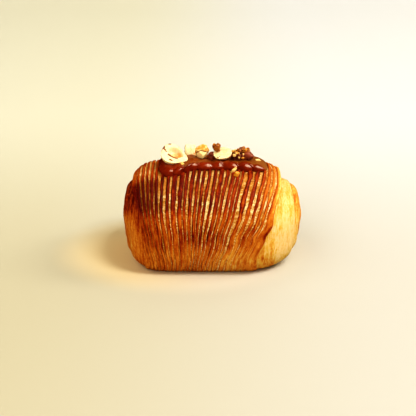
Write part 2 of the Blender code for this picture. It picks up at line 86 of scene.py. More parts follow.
# How far the ribs bend off that line at these angles: at four places across the wrap, from left to right
RIB_BEND_TURNS = (15, 26, 42, 55, 66, 80, 93, 105, 115)
RIB_BEND_PLACES = (0.2, 0.45, 0.75, 0.95)
RIB_BENDS = (
    (0.9, 1.0, 0.0, -1.1, -1.7, -1.4, -0.2, 1.0, 1.8),
    (1.1, 0.6, -0.2, -0.9, -1.2, -0.7, 0.4, 1.2, 1.5),
    (-0.5, -0.3, -0.2, 0.4, 0.3, 0.7, 0.4, -0.4, -0.8),
    (0.4, -0.1, -0.1, 0.2, -0.5, -1.4, -1.9, -2.3, -2.9),
)
RIB_BEND_BLUR = 6
RIB_BEND_RIM = 24

FOLD_PITCH = 0.24
FOLD_PHASE = (0.67, 0.61)
FOLD_DEPTH = (3.0, 0.8)
FOLD_ROUNDNESS = 0.6
FOLD_MEAN = 0.6
FOLD_BEFORE = -0.5
FOLD_FADE = 0.15
FOLD_SLOPE = (0.0, 1.8)
FOLD_SHIFT = 0.27
LAST_STATION = 2.6  # an end's columns: up to 1 between wrap and outer fold line, then one layer a unit

GLAZE_CENTRE_Y = 3.5
GLAZE_SQUARENESS = 5.0
GLAZE_THICKNESS = 2.9
GLAZE_REACH = 0.98
LOBE_VALLEYS = (-31.2, -22.3, -16.4, -8.6, 0.3, 6.8, 15.8, 24.1, 33.0)
LOBE_FRONTS = (17.6, 14.6, 9.0, 8.4, 8.2, 8.6, 9.4, 9.4)  # how far each lobe comes forward
LOBE_BACKS = (14.0, 15.5, 16.6, 15.8, 16.8, 16.0, 16.4, 14.6)
LOBE_DEPTH = 1.8

# A half nut's place is the middle of its cut face; a broken piece is its size, its middle and its seed
LARGE_HALF = {
    "size": (16.4, 13.4, 6.6), "place": (-22.0, -3.7, 63.3),
    "turn": (34, 21, -6), "hollow": 0.34, "point": 0.18, "taper": 0.22,
}
SMALL_HALF = {
    "size": (11.4, 7.8, 5.0), "place": (6.4, -2.0, 63.4),
    "turn": (46, -6, 6), "hollow": 0.08, "point": 0.05, "taper": 0.0,
}
NUT_HOLLOW_REACH = (0.25, 0.72)
NUT_HOLLOW_NARROWNESS = 1.25
NUT_HOLLOW_PLACE = (0.08, 0.2)
CHIP_COUNT = 6
CHIP_DEPTH = (0.55, 0.8)
CHIP_SHARPNESS = 0.85
ROASTED_PIECE = ((8.8, 8.0, 9.2), (-5.2, 1.4, 62.6), 2)
PALE_PIECE = ((6.6, 6.4, 8.2), (-12.6, 9.0, 60.3), 4)
CARAMEL_CORE = ((3.6, 3.2, 5.0), (2.9, -1.6, 66.2), 21)
CARAMEL_CRYSTALS = [
    ((2.5, 2.4, 3.0), (4.0, -1.0, 67.8), 22),
    ((2.2, 2.4, 2.6), (1.7, -1.2, 67.7), 23),
]
PRALINE_CORE = ((12.0, 8.4, 5.6), (18.4, 2.0, 60.0), 31)
PRALINE_CHUNK = ((6.6, 4.6, 4.6), (22.0, -1.2, 61.5), 46)
PRALINE_NUGGETS = [
    ((4.8, 4.2, 4.8), (16.0, 0.4, 63.2), 41),
    ((4.0, 3.8, 3.6), (20.4, 1.6, 63.4), 42),
    ((4.2, 3.6, 3.6), (14.4, -1.6, 61.8), 43),
    ((3.8, 3.2, 3.0), (17.4, -1.4, 61.0), 44),
    ((3.8, 3.4, 3.4), (14.2, 3.0, 62.0), 45),
    PRALINE_CHUNK,
    ((4.0, 3.6, 3.4), (18.0, 4.4, 62.6), 47),
    ((3.8, 3.4, 3.2), (21.6, 3.6, 61.0), 48),
]
# Small bits: name, what each lies on, its size, its place over that, its turn, its seed and its tone
BITS = (
    ("bit_dark", "chocolate", (5.0, 4.4, 7.4), (0.4, 1.6, 1.1), (0, 0, 0), 51, 0.08),
    ("bit_pale_left", "chocolate", (3.6, 1.8, 1.6), (-17.2, -7.2, 0), (0, 0, 0), 52, 0.85),
    ("bit_flake", "chocolate", (4.0, 2.4, 1.6), (27.4, 2.3, 0), (0, 0, 0), 53, 1.0),
    ("bit_back_left", "chocolate", (3.6, 3.2, 3.6), (-21.0, 9.6, 0), (0, 0, 0), 55, 0.6),
    ("bit_back_middle", "chocolate", (3.2, 2.8, 3.0), (-4.2, 11.0, 0), (0, 0, 0), 56, 0.85),
    ("bit_back_right", "chocolate", (3.8, 3.0, 3.2), (9.4, 10.2, 0), (0, 0, 0), 57, 0.45),
    ("bit_pale_front", "crust", (2.4, 2.2, 4.6), (12.9, -10.3, 0.8), (0, 32, 0), 54, 0.95),
    ("bit_crust", "crust", (4.4, 3.2, 3.8), (14.5, -14.2, 0.3), (0, 0, 20), 58, 0.66),
)

# ---- what the scene adds

ROWS = 210
UNDERSIDE_ROWS = 0.35  # the underside has this share of the rows that its length would give it
COLUMNS_PER_RIB = 12
END_COLUMNS = 44
END_CROWDING = 1.15
OUTLINE_SAMPLES = 4001
RIM_SAMPLES = 8001
ABOVE = 1.0  # metres: over everything

GROOVE_DEPTH = 1.0  # from the ribs' tops to the grooves between them
# How much of the spacing each light groove takes, from left to right
BAND_SHARES = (
    *(0.25, 0.3, 0.4, 0.35, 0.32, 0.5, 0.48, 0.35, 0.33, 0.26, 0.46, 0.4, 0.4),
    *(0.42, 0.48, 0.38, 0.3, 0.42, 0.28, 0.3, 0.62, 0.42, 0.46, 0.46, 0.44, 0.5),
)
BAND_HALF = 0.44  # share of its width that a band reaches to either side
RIM_ROUNDING = 0.35  # the wrap's rim is rounded over this share of a rib
SIDE_TURN = (60, 84)  # degrees over which the sides' look takes over from the crown's
BLISTER_TURN = (60, 90)
MEAN_RIB_WIDTH = 3.1
END_STREAKS = 1.3
END_LEAVES = (0.28, 0.36, 0.43, 0.5, 0.56)  # shares of the radius at which thin leaves end
END_STRIPE_PITCH = 0.062

GLAZE_ROWS = 420
GLAZE_TOP_COLUMNS = 20
GLAZE_TOP_CROWDING = 0.8
GLAZE_BEAD_COLUMNS = 26
GLAZE_UNDER_REACH = (0.9, 0.6, 0.3)
BEAD_WIDTH = 4.4  # the chocolate's rim is rounded over this width
BEAD_UNDERCUT = math.radians(35)  # and curls in under itself by this much
LOBE_SWELL = 1.3  # how much thicker the chocolate is along a lobe than in the valleys between
GLAZE_SINK = 0.9  # the chocolate runs down into the grooves
BANK_HEIGHT = 0.55  # the chocolate rises by this against the nuts and the praline
# What it rises against: size, place, and how much of the outline stands in it
BANKED = (
    (LARGE_HALF["size"], LARGE_HALF["place"], 0.75),
    (SMALL_HALF["size"], SMALL_HALF["place"], 0.7),
    (*ROASTED_PIECE[:2], 0.8), (*PALE_PIECE[:2], 0.8), (*PRALINE_CORE[:2], 0.95),
)

NUT_COLUMNS = 56
NUT_ROWS = 72
# hollow_shade_depth is how dark the painted shade in the hollow is, and brim how brown the hollow's near
# edge.
# skin_at lists where brown skin is left: a place on the unit nut, and how wide.
LARGE_HALF_LOOK = {
    "seed": 81, "hollow_shade_depth": 1.0, "brim": 1.0, "skin_at": (
        ((-0.93, 0.22, 0.0), (0.14, 0.2, 0.3)), ((-0.78, 0.08, 0.0), (0.14, 0.09, 0.3)),
        ((-0.62, -0.02, 0.0), (0.13, 0.07, 0.3)), ((-0.62, 0.76, 0.1), (0.26, 0.2, 0.2)),
        ((-0.1, -0.66, 0.0), (0.12, 0.08, 0.3)), ((0.02, -0.72, 0.0), (0.11, 0.07, 0.3)),
        ((-0.98, 0.1, -0.06), (0.1, 0.5, 0.1)),
    ),
}
SMALL_HALF_LOOK = {
    "seed": 84, "hollow_shade_depth": 0.45, "brim": 0.0, "skin_at": (
        ((-0.55, -0.62, 0.0), (0.14, 0.1, 0.3)), ((-0.38, -0.52, 0.0), (0.09, 0.08, 0.3)),
        ((-0.52, 0.3, 0.0), (0.09, 0.09, 0.3)),
    ),
}
CRUMB_SEEDS = 10**6
PRALINE_SEED = 70
PRALINE_CORE_CRUMBS = 70
PRALINE_NUGGET_CRUMBS = 14
PRALINE_BARE_BELOW = 0.6  # under a nugget's middle
PRALINE_CRUMB_SIZE = (1.2, 2.5)
PRALINE_CRUMB_TONES = (0.04, 0.25, 0.3, 0.42, 0.5, 0.6, 0.66, 0.9)
# Nearly black under the crumbs: painted shade in the gaps between them
PRALINE_GAP_SHADE_TONE = 0.04
PRALINE_CHUNK_TONE = 0.12
CARAMEL_SEED = 71
CARAMEL_TONES = (0.46, 0.36, 0.56)
CARAMEL_CRUMBS = 7
CARAMEL_CRUMB_SIZE = (0.8, 1.5)
CARAMEL_CRUMB_TONES = (0.1, 0.5)


def smoothstep(low, high, value):
    share = np.clip((value - low) / (high - low), 0.0, 1.0)
    return share * share * (3.0 - 2.0 * share)


def fading(low, high, value):
    """1 up to low, and 0 from high on."""
    return 1 - smoothstep(low, high, value)


def patch(value, middle, spread):
    """A soft spot, 1 in its middle."""
    return np.exp(-(((value - middle) / spread) ** 2))


def between(pair, share):
    return pair[0] + (pair[1] - pair[0]) * share


def signed_power(value, power):
    return np.sign(value) * np.abs(value) ** power


def from_crown(angle):
    """How far round from the crown, 0 to pi on either side."""
    return np.abs((angle + math.pi) % (2 * math.pi) - math.pi)


def stacked(*parts):
    return np.stack(np.broadcast_arrays(*parts), axis=-1)


# ---- tables of soft spots: each row is an amount, where it is along one measure, and where along another


def rising(low, high):
    return lambda value: smoothstep(low, high, value)


def falling(low, high):
    return lambda value: fading(low, high, value)


def spot(middle, spread):
    return lambda value: patch(value, middle, spread)


def everywhere(_):
    return 1.0


def varied(value, rows, first, second):
    """A value with what each row of a table adds to it."""
    for amount, along_first, along_second in rows:
        value = value + amount * along_first(first) * along_second(second)
    return value


# The wrap's browning and the colour of its pale grooves, which holds a painted sheen: by ribs from the left,
# and by degrees from the crown
WRAP_BROWNING = (
    (-0.08, rising(15, 21), everywhere),
    (-0.18, everywhere, rising(55, 74)),
    (-0.14, everywhere, rising(88, 104)),
    (-0.08, falling(6, 11), falling(14, 34)),
    (-0.36, rising(22.5, 26), falling(36, 78)),
    (0.08, falling(5, 10), spot(46, 12)),
    (-0.02, falling(9, 13), spot(72, 14)),
    (0.05, falling(4, 8), spot(80, 18)),
    (-0.04, spot(16.0, 6.0), falling(40, 54)),
    (0.05, spot(21.5, 3.0), spot(92, 9)),
    (0.06, spot(16.5, 5.0), spot(84, 16)),
    (-0.11, falling(5, 9), falling(12, 30)),
)
WRAP_GOLD_AND_SHEEN = (
    (0.04, rising(8, 20), everywhere),
    (-0.28, falling(3, 8), rising(20, 34)),
    (0.14, everywhere, rising(36, 54)),
    (0.08, rising(11, 16), rising(70, 96)),
    (-0.07, everywhere, rising(70, 96)),
    (0.14, rising(9, 13), falling(24, 40)),
    (0.14, falling(3, 8), falling(16, 32)),
    (-0.16, spot(21.0, 3.0), falling(34, 50)),
    # Paler bands round 55 degrees down: a painted sheen where light glints on them
    (0.12, rising(10, 13), spot(55, 9)),
    (0.09, falling(9, 13), spot(68, 10)),
)
# The right end's browning: by the share of its radius, and by degrees from the crown
RIGHT_END_BROWNING = (
    (-0.03, everywhere, rising(84, 108)),
    (0.07, falling(0.3, 0.62), everywhere),
    (0.16, spot(0.52, 0.1), spot(15, 30)),
    (0.07, rising(0.72, 0.95), rising(88, 104)),
    (0.04, everywhere, falling(56, 76)),
    (0.2, falling(0.2, 0.36), everywhere),
    (0.07, everywhere, rising(112, 128)),
)
# Where the chocolate is thinner or thicker, in millimetres: by x, and by y
GLAZE_SWELLS = (
    (-1.1, rising(22, 31), everywhere),
    (1.3, spot(-12.5, 5.0), spot(0.5, 5.0)),
    (1.2, spot(-12.0, 4.0), spot(4.6, 2.4)),
)


# ---- noise


def random_lattice(x, y, z, seed):
    """A random value from -1 to 1 at whole-number places."""
    mixed = (x * 374761393 + y * 668265263 + z * 1440662683 + seed * 1274126177) & 0xFFFFFFFF
    mixed = ((mixed ^ (mixed >> 13)) * 1274126177) & 0xFFFFFFFF
    return ((mixed ^ (mixed >> 16)) & 0xFFFF) / 32767.5 - 1


def noise(points, size, seed):
    """Smooth noise, from about -1 to 1, whose features have a size: one number, or one along each axis."""
    scaled = np.asarray(points, float) / size
    base = np.floor(scaled).astype(np.int64)
    part = scaled - base
    part = part * part * (3 - 2 * part)
    total = 0.0
    for corner in range(8):
        step = (corner & 1, corner >> 1 & 1, corner >> 2)
        weight = 1.0
        for axis in range(3):
            weight = weight * (part[..., axis] if step[axis] else 1 - part[..., axis])
        total = total + weight * random_lattice(*(base[..., axis] + step[axis] for axis in range(3)), seed)
    return total


# ---- the roll's surface


def section(angle):
    upper = np.cos(angle) > 0
    power = np.where(upper, CROWN_SQUARENESS, FOOT_SQUARENESS)
    rise = np.where(upper, CROWN_RISE, FOOT_DROP)
    across = -signed_power(np.sin(angle), 2 / power)
    along = signed_power(np.cos(angle), 2 / power)
    normal = np.stack([signed_power(across, power - 1) / HALF_DEPTH, signed_power(along, power - 1) / rise])
    normal /= np.linalg.norm(normal, axis=0)
    return HALF_DEPTH * across, BELT_Z + rise * along, normal


def end_form(angle, side):
    foot = smoothstep(*END_TURN, from_crown(angle))
    power = np.where(side < 0, between(LEFT_END_SQUARENESS, foot), between(RIGHT_END_SQUARENESS, foot))
    return np.where(side < 0, *END_REACH), power, between(END_ROUNDING, foot)


def wrap_edge(angle, side, inside=0.0):
    ease = WRAP_EASE * inside
    turns = (WRAP_UPPER_TURN, WRAP_LOWER_TURN)
    upper, lower = (smoothstep(low - ease, high + ease, from_crown(angle)) for low, high in turns)
    edges = (WRAP_LEFT, WRAP_RIGHT)
    reach = [crown + (belt - crown) * upper + (foot - belt) * lower for crown, belt, foot in edges]
    return np.where(side < 0, *reach)


def raised(x, angle, lift):
    """Points lifted off the roll along its normal, and pressed flat at z = 0."""
    side = np.sign(x) + (x == 0)
    tip, power, rounding = end_form(angle, side)
    reach = np.clip(np.abs(x) / tip, 0.0, 1.0)
    share = (1.0 - reach**power) ** (1 / rounding)
    y, z, normal = section(angle)
    lengthways = power * reach ** (power - 1) / tip
    outwards = rounding * share ** (rounding - 1) / np.hypot(y, z - END_CENTRE_Z)
    steepness = np.hypot(lengthways, outwards)
    lengthways, outwards = side * lengthways / steepness, outwards / steepness
    height = END_CENTRE_Z + share * (z - END_CENTRE_Z) + lift * outwards * normal[1]
    return stacked(x + lift * lengthways, share * y + lift * outwards * normal[0], np.maximum(height, 0.0))


def crown_height(x, y):
    tip, power, rounding = end_form(np.zeros_like(x), np.sign(x) + (x == 0))
    share = (1.0 - (np.abs(x) / tip) ** power) ** (1 / rounding)
    reach = np.clip(np.abs(y) / share / HALF_DEPTH, 0.0, GLAZE_REACH)
    z = BELT_Z + CROWN_RISE * (1 - reach**CROWN_SQUARENESS) ** (1 / CROWN_SQUARENESS)
    return END_CENTRE_Z + share * (z - END_CENTRE_Z) + RIB_HEIGHT


OUTLINE_ANGLES = np.linspace(0, 2 * math.pi, OUTLINE_SAMPLES)


def outline_lengths(underside=1.0):
    """Length round the roll up to each outline angle; the flat underside counts for a share of its own."""
    y, z, _ = section(OUTLINE_ANGLES)
    step = np.hypot(np.diff(y), np.diff(np.maximum(z, 0)))
    step = step * np.where(z[1:] <= 0, underside, 1.0)
    return np.concatenate([[0], np.cumsum(step)])


def even_angles(count):
    length = outline_lengths(UNDERSIDE_ROWS)
    return np.interp(np.arange(count) / count * length[-1], length, OUTLINE_ANGLES)


def distance_round(angle):
    """Millimetres from the crown, on either side."""
    return np.interp(from_crown(angle), OUTLINE_ANGLES, outline_lengths())


def rib_bend(across, angle):
    """Sideways bend of the ribs in millimetres; the wrap's own rims stay."""
    turn = np.degrees(from_crown(angle))
    blur = (-RIB_BEND_BLUR, 0, RIB_BEND_BLUR)
    total = 0.0
    for place, bends in enumerate(RIB_BENDS):
        share = np.interp(across, RIB_BEND_PLACES, np.arange(len(RIB_BENDS)) == place)
        total = total + share * sum(np.interp(turn + d, RIB_BEND_TURNS, bends) for d in blur) / len(blur)
    return total * (1 - np.abs(2 * across - 1) ** RIB_BEND_RIM)


def rib_edges():
    return np.concatenate([[0.0], np.cumsum(RIB_WIDTHS) / sum(RIB_WIDTHS)])


def rib_lines(across, angle):
    sway_angle = RIB_SWAY_WAVES[0] * angle + RIB_SWAY_WAVES[1] * across
    sway = RIB_SWAY * np.sin(sway_angle) * np.sin(math.pi * across)
    lean = RIB_LEAN * np.sin(math.pi * across**RIB_LEAN_SIDE) * from_crown(angle) / math.pi
    left, right = wrap_edge(angle, -1, across), wrap_edge(angle, 1, 1 - across)
    return -left + (left + right) * (across + sway - lean) + rib_bend(across, angle)


# ---- mesh helpers


def make_piece(name, points, faces, material, replaces, attributes):
    """A mesh object from points in millimetres, riding on the pastry."""
    mesh = bpy.data.meshes.new(name)
    mesh.from_pydata((np.asarray(points) * MM).tolist(), [], [list(face) for face in faces])
    for attribute, values in attributes.items():
        layer = mesh.attributes.new(attribute, "FLOAT", "POINT")
        layer.data.foreach_set("value", np.asarray(values, np.float32))
    shape = bmesh.new()
    shape.from_mesh(mesh)
    bmesh.ops.recalc_face_normals(shape, faces=shape.faces)
    shape.to_mesh(mesh)
    shape.free()
    mesh.polygons.foreach_set("use_smooth", [True] * len(mesh.polygons))
    mesh.materials.append(material)
    obj = bpy.data.objects.new(name, mesh)
    bpy.context.scene.collection.objects.link(obj)
    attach(obj, "root")
    if replaces:
        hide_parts(replaces)
    return obj


def tube_faces(columns, rows):
    """Faces of a closed form: columns of rows points each, then its first and its last pole."""
    column, row = np.meshgrid(np.arange(columns - 1), np.arange(rows), indexing="ij")
    here, after = column * rows + row, column * rows + (row + 1) % rows
    faces = np.stack([here, after, after + rows, here + rows]).reshape(4, -1).T.tolist()
    first, last = columns * rows, columns * rows + 1
    last_column = (columns - 1) * rows
    for row in range(rows):
        after = (row + 1) % rows
        faces.append([first, after, row])
        faces.append([last, last_column + row, last_column + after])
    return faces


# ---- materials


class Nodes:
    """Builds a material's node tree with few words."""

    def __init__(self, name):
        self.material = bpy.data.materials.new(name)
        self.material.use_nodes = True
        self.tree = self.material.node_tree
        self.shader = self.tree.nodes["Principled BSDF"]

    def link(self, value, socket):
        if hasattr(value, "links"):
            self.tree.links.new(value, socket)
        else:
            socket.default_value = value

    def link_colour(self, value, socket):
        self.link(value if hasattr(value, "links") else (*value, 1.0), socket)

    def node(self, kind, inputs=(), output=0, **settings):
        node = self.tree.nodes.new("ShaderNode" + kind)
        for key, value in settings.items():
            setattr(node, key, value)
        for key, value in dict(inputs).items():
            self.link(value, node.inputs[key])
        return node.outputs[output]

    def attribute(self, name):
        return self.node("Attribute", attribute_name=name, output="Fac")

    def math(self, operation, *values):
        return self.node("Math", dict(enumerate(values)), operation=operation)

    def add(self, *values):
        total = values[0]
        for value in values[1:]:
            total = self.math("ADD", total, value)
        return total

    def times(self, *values):
        total = values[0]
        for value in values[1:]:
            total = self.math("MULTIPLY", total, value)
        return total

    def blend(self, *pairs):
        return self.add(*(self.times(value, weight) for value, weight in pairs))

    def fit(self, value, low, high, out_low=0.0, out_high=1.0):
        inputs = {"Value": value, "From Min": low, "From Max": high, "To Min": out_low, "To Max": out_high}
        return self.node("MapRange", inputs, interpolation_type="SMOOTHSTEP")

    def place(self, x, y, z):
        return self.node("CombineXYZ", {"X": x, "Y": y, "Z": z})

    def position(self):
        return self.node("TexCoord", output="Object")

    def grain(self, vector, scale, detail=3.0, roughness=0.55):
        """Noise centred on 0, from about -1 to 1."""
        inputs = {"Vector": vector, "Scale": scale, "Detail": detail, "Roughness": roughness}
        value = self.node("TexNoise", inputs)
        return self.math("MULTIPLY_ADD", value, 4.0, -2.0)

    def ramp(self, value, stops):
        node = self.tree.nodes.new("ShaderNodeValToRGB")
        elements = node.color_ramp.elements
        while len(elements) < len(stops):
            elements.new(0.5)
        for element, (position, colour) in zip(elements, stops):
            element.position = position
            element.color = (*colour, 1.0)
        self.link(value, node.inputs["Fac"])
        return node.outputs["Color"]

    def mix(self, share, first, second):
        node = self.tree.nodes.new("ShaderNodeMix")
        node.data_type = "RGBA"
        self.link(share, node.inputs["Factor"])
        for key, value in (("A", first), ("B", second)):
            self.link_colour(value, [s for s in node.inputs if s.name == key and s.type == "RGBA"][0])
        return [s for s in node.outputs if s.type == "RGBA"][0]

    def bump(self, height, distance, strength=1.0):
        return self.node("Bump", {"Height": height, "Distance": distance, "Strength": strength})

    def finish(self, colour, roughness, normal=None, **fixed):
        self.link_colour(colour, self.shader.inputs["Base Color"])
        self.link(roughness, self.shader.inputs["Roughness"])
        if normal is not None:
            self.link(normal, self.shader.inputs["Normal"])
        for key, value in fixed.items():
            self.shader.inputs[key.replace("_", " ")].default_value = value
        return self.material


# How baked dough browns, from pale to nearly burnt
BROWNING = (
    (0.0, (0.8, 0.59, 0.285)),
    (0.18, (0.715, 0.45, 0.08)),
    (0.35, (0.64, 0.24, 0.028)),
    (0.5, (0.49, 0.13, 0.008)),
    (0.65, (0.33, 0.04, 0.002)),
    (0.8, (0.14, 0.007, 0.001)),
    (1.0, (0.045, 0.002, 0.001)),
)
# The bands between its ribs, where the layers' inside shows
GOLD = (
    (0.0, (0.24, 0.05, 0.003)),
    (0.3, (0.4, 0.14, 0.014)),
    (0.6, (0.56, 0.27, 0.045)),
    (1.0, (0.95, 0.78, 0.4)),
)
# Broken praline, caramel and crumbs, by their tones
CRUMB_TONES = (
    (0.0, (0.1, 0.012, 0.004)),
    (0.12, (0.33, 0.085, 0.042)),
    (0.25, (0.2, 0.045, 0.006)),
    (0.5, (0.42, 0.15, 0.02)),
    (0.66, (0.72, 0.33, 0.03)),
    (0.78, (0.74, 0.45, 0.1)),
    (1.0, (0.92, 0.72, 0.3)),
)
CHOCOLATE_TONES = ((0.155, 0.013, 0.001), (0.25, 0.027, 0.002))
# A tan painted sheen: the pale backdrop as if reflected in the chocolate's dull top and right slope
CHOCOLATE_PAINTED_SHEEN = (0.31, 0.118, 0.014)
SKIN_TONES = ((0.08, 0.013, 0.002), (0.3, 0.08, 0.008))
# A nut's flesh, its deeper tone (painted shade in a half's hollow), and where it is toasted
PALE_NUT_TONES = ((0.9, 0.79, 0.5), (0.66, 0.3, 0.06), (0.85, 0.62, 0.28))
ROASTED_NUT_TONES = ((0.96, 0.8, 0.42), (0.72, 0.36, 0.06), (0.7, 0.32, 0.05))
NUT_LIGHT_DEPTH = (0.0018, 0.0012, 0.0007)  # metres that red, green and blue light goes into the flesh


def crust_material():
    n = Nodes("crust")
    rib, groove = n.attribute("rib"), n.attribute("groove")
    across, along, facing = n.attribute("across_mm"), n.attribute("along_mm"), n.attribute("facing")
    browning_and_shade, gold_and_sheen, streaky = n.attribute("browning_and_shade"), n.attribute("gold_and_sheen"), n.attribute("streaky")

    def drawn(across_step, along_step, detail, roughness=0.55, scale=1.0):
        """Noise by the millimetre, drawn out along the ribs."""
        place = n.place(n.times(across, across_step), n.times(along, along_step), facing)
        return n.grain(place, scale, detail, roughness)

    streaks = drawn(1.0, 0.12, 4.0, 0.65, scale=0.8)
    fine_streaks = drawn(1.7, 0.25, 3.0, 0.6)
    veins = n.fit(n.math("ABSOLUTE", drawn(0.7, 0.03, 1.0)), 0.14, 0.02)
    rungs = drawn(0.6, 1.0, 3.0, 0.75)
    frays = drawn(0.8, 1.3, 3.0, 0.7)
    blisters = n.grain(n.position(), 700.0, 4.0, 0.6)
    specks = n.grain(n.position(), 1500.0, 3.0, 0.6)

    frayed = n.add(rib, n.times(frays, 0.05))
    from_groove = n.math("ABSOLUTE", n.math("SUBTRACT", n.math("FRACT", n.add(frayed, 0.5)), 0.5))
    spread = n.math("DIVIDE", from_groove, n.math("MAXIMUM", groove, 0.001))
    light = n.times(n.fit(spread, 1.15, 0.75), n.fit(groove, 0.01, 0.05))
    # Darker rims on the groove walls: browning, and painted shade in the grooves
    scorch_and_groove_shade = n.times(n.fit(spread, 0.85, 1.15), n.fit(spread, 1.9, 1.3), n.fit(groove, 0.05, 0.17))

    streaking = n.blend((streaks, 0.11), (fine_streaks, 0.08), (veins, -0.09))
    marks = n.blend((streaking, streaky), (blisters, 0.07), (specks, 0.045), (scorch_and_groove_shade, 0.13))
    # Grain in the bands, whose brightest specks are painted glints
    grit_and_glints = n.blend((rungs, 0.42), (specks, 0.25), (fine_streaks, 0.15))
    colour = n.mix(light, n.ramp(n.add(browning_and_shade, marks), BROWNING), n.ramp(n.add(gold_and_sheen, grit_and_glints), GOLD))

    relief = n.blend((streaks, 0.25), (fine_streaks, 0.3), (blisters, 0.35))
    relief = n.add(relief, n.times(n.add(rungs, specks), light, 0.6))
    roughness = n.add(0.48, n.blend((light, -0.14), (blisters, 0.06)))
    return n.finish(colour, roughness, n.bump(relief, 0.00022), Specular_IOR_Level=0.06)


def chocolate_material():
    n = Nodes("chocolate")
    position, dull_with_painted_sheen = n.position(), n.attribute("dull_with_painted_sheen")
    cloud, fine = n.grain(position, 160.0), n.grain(position, 900.0)
    colour = n.mix(n.fit(n.add(cloud, n.times(fine, 0.3)), -1.0, 1.0), *CHOCOLATE_TONES)
    # Mixes in the painted sheen where the top and the right slope are dull
    colour = n.mix(dull_with_painted_sheen, colour, CHOCOLATE_PAINTED_SHEEN)
    roughness = n.add(0.18, n.blend((fine, 0.02), (cloud, 0.02), (dull_with_painted_sheen, 0.25)))
    relief = n.blend((cloud, 0.5), (fine, 0.12))
    return n.finish(colour, roughness, n.bump(relief, 0.00018, 0.7), Specular_IOR_Level=0.4)


def nut_material(name, pale, deep, toasted):
    """Nut flesh: pale, deeper where the hollow attribute says, which on a half is painted shade in its hollow
    and over its cut face, and toasted in places, with brown where skin is left.
    """
    n = Nodes(name)
    position = n.position()
    cloud, fine = n.grain(position, 260.0), n.grain(position, 1300.0)
    skin, hollow = n.attribute("skin"), n.attribute("hollow")
    mottle = n.blend((cloud, 0.15), (fine, 0.1))
    flesh = n.mix(n.fit(n.add(mottle, hollow), 0.1, 1.0), pale, deep)
    flesh = n.mix(n.fit(n.add(cloud, n.times(fine, 0.4)), 0.35, 1.3, 0.0, 0.5), flesh, toasted)
    brown = n.mix(n.fit(fine, -1.0, 1.0), *SKIN_TONES)
    colour = n.mix(n.fit(n.add(skin, mottle), 0.35, 0.7), flesh, brown)
    relief = n.blend((cloud, 0.6), (fine, 0.3))
    return n.finish(
        colour, n.add(0.5, n.times(fine, 0.06)), n.bump(relief, 0.00025, 0.8), Specular_IOR_Level=0.2,
        Subsurface_Weight=0.35, Subsurface_Radius=NUT_LIGHT_DEPTH, Subsurface_Scale=1.0,
    )


def crumb_material(name, roughness):
    n = Nodes(name)
    position = n.position()
    cloud, fine = n.grain(position, 500.0), n.grain(position, 1800.0)
    tone = n.add(n.attribute("tone"), n.blend((cloud, 0.1), (fine, 0.08)))
    relief = n.blend((cloud, 0.6), (fine, 0.35))
    return n.finish(
        n.ramp(tone, CRUMB_TONES), n.add(roughness, n.times(fine, 0.08)), n.bump(relief, 0.0002, 0.8),
        Specular_IOR_Level=0.25,
    )


# ---- the crust


def crust_surface():
    """Points, and the values that the material needs, as arrays of column by row."""
    angle = even_angles(ROWS)[None, :]
    around = distance_round(angle)
    facing = np.sin(angle) * 2.0  # keeps the noise of the front and of the back apart
    ribs = np.linspace(0, RIB_COUNT, RIB_COUNT * COLUMNS_PER_RIB + 1)
    across = np.interp(ribs, np.arange(RIB_COUNT + 1), rib_edges())[:, None]
    station = LAST_STATION * (np.arange(END_COLUMNS) / (END_COLUMNS - 1))[:, None] ** END_CROWDING
    left, right = (end_surface(station, angle, around, facing, side) for side in (-1, 1))
    wrap = wrap_surface(across, angle, around, facing)
    joined = {key: np.concatenate([left[key][::-1], wrap[key], right[key]]) for key in wrap}
    joined["along_mm"] = np.broadcast_to(around, joined["rib"].shape)
    joined["facing"] = np.broadcast_to(facing, joined["rib"].shape)
    return joined


class WrapGrid:
    """The wrap's places, column by row, with what its relief and its colours share."""

    def __init__(self, across, angle, around, facing):
        self.angle = angle
        self.turn = np.degrees(from_crown(angle))
        rib = np.interp(across, rib_edges(), np.arange(RIB_COUNT + 1)) + 0 * angle
        self.flow = stacked(rib, around, facing)
        self.inside = smoothstep(0.3, 1.2, rib) * fading(RIB_COUNT - 1.2, RIB_COUNT - 0.3, rib)
        waver = 0.06 * noise(self.flow, (1.1, 16.0, 3.0), 1) + 0.04 * noise(self.flow, (0.7, 4.0, 2.0), 2)
        self.rib = rib + self.inside * waver
        self.from_rim = np.minimum(self.rib, RIB_COUNT - self.rib)
        self.nearest = np.clip(np.rint(self.rib), 1, RIB_COUNT - 1)
        self.per_groove = stacked(self.nearest, around, facing)
        self.from_groove = self.rib - np.rint(self.rib)
        self.on_side = smoothstep(*SIDE_TURN, self.turn)
        self.blistered = smoothstep(*BLISTER_TURN, self.turn)
        self.uneven = 0.5 + 0.9 * noise(self.per_groove, (0.5, 9.0, 2.0), 23)


def wrap_surface(across, angle, around, facing):
    grid = WrapGrid(across, angle, around, facing)
    x = rib_lines(across, angle)
    band, fade = light_bands(grid)
    lift = wrap_lift(grid, band, fade)
    points = raised(x, angle, lift)
    points = raised(x, angle, lift + wrap_bumps(grid, points))
    widening = 1 + 0.6 * fading(3, 8, grid.rib) * fading(18, 34, grid.turn)
    return {
        "points": points,
        "rib": grid.rib,
        "groove": BAND_HALF * band * fade * grid.inside * widening,
        "across_mm": grid.rib * MEAN_RIB_WIDTH,
        "browning_and_shade": wrap_browning_and_shade(grid, points),
        "gold_and_sheen": wrap_gold_and_sheen(grid, points),
        "streaky": 1 + 0.5 * grid.on_side + 0 * grid.rib,
    }


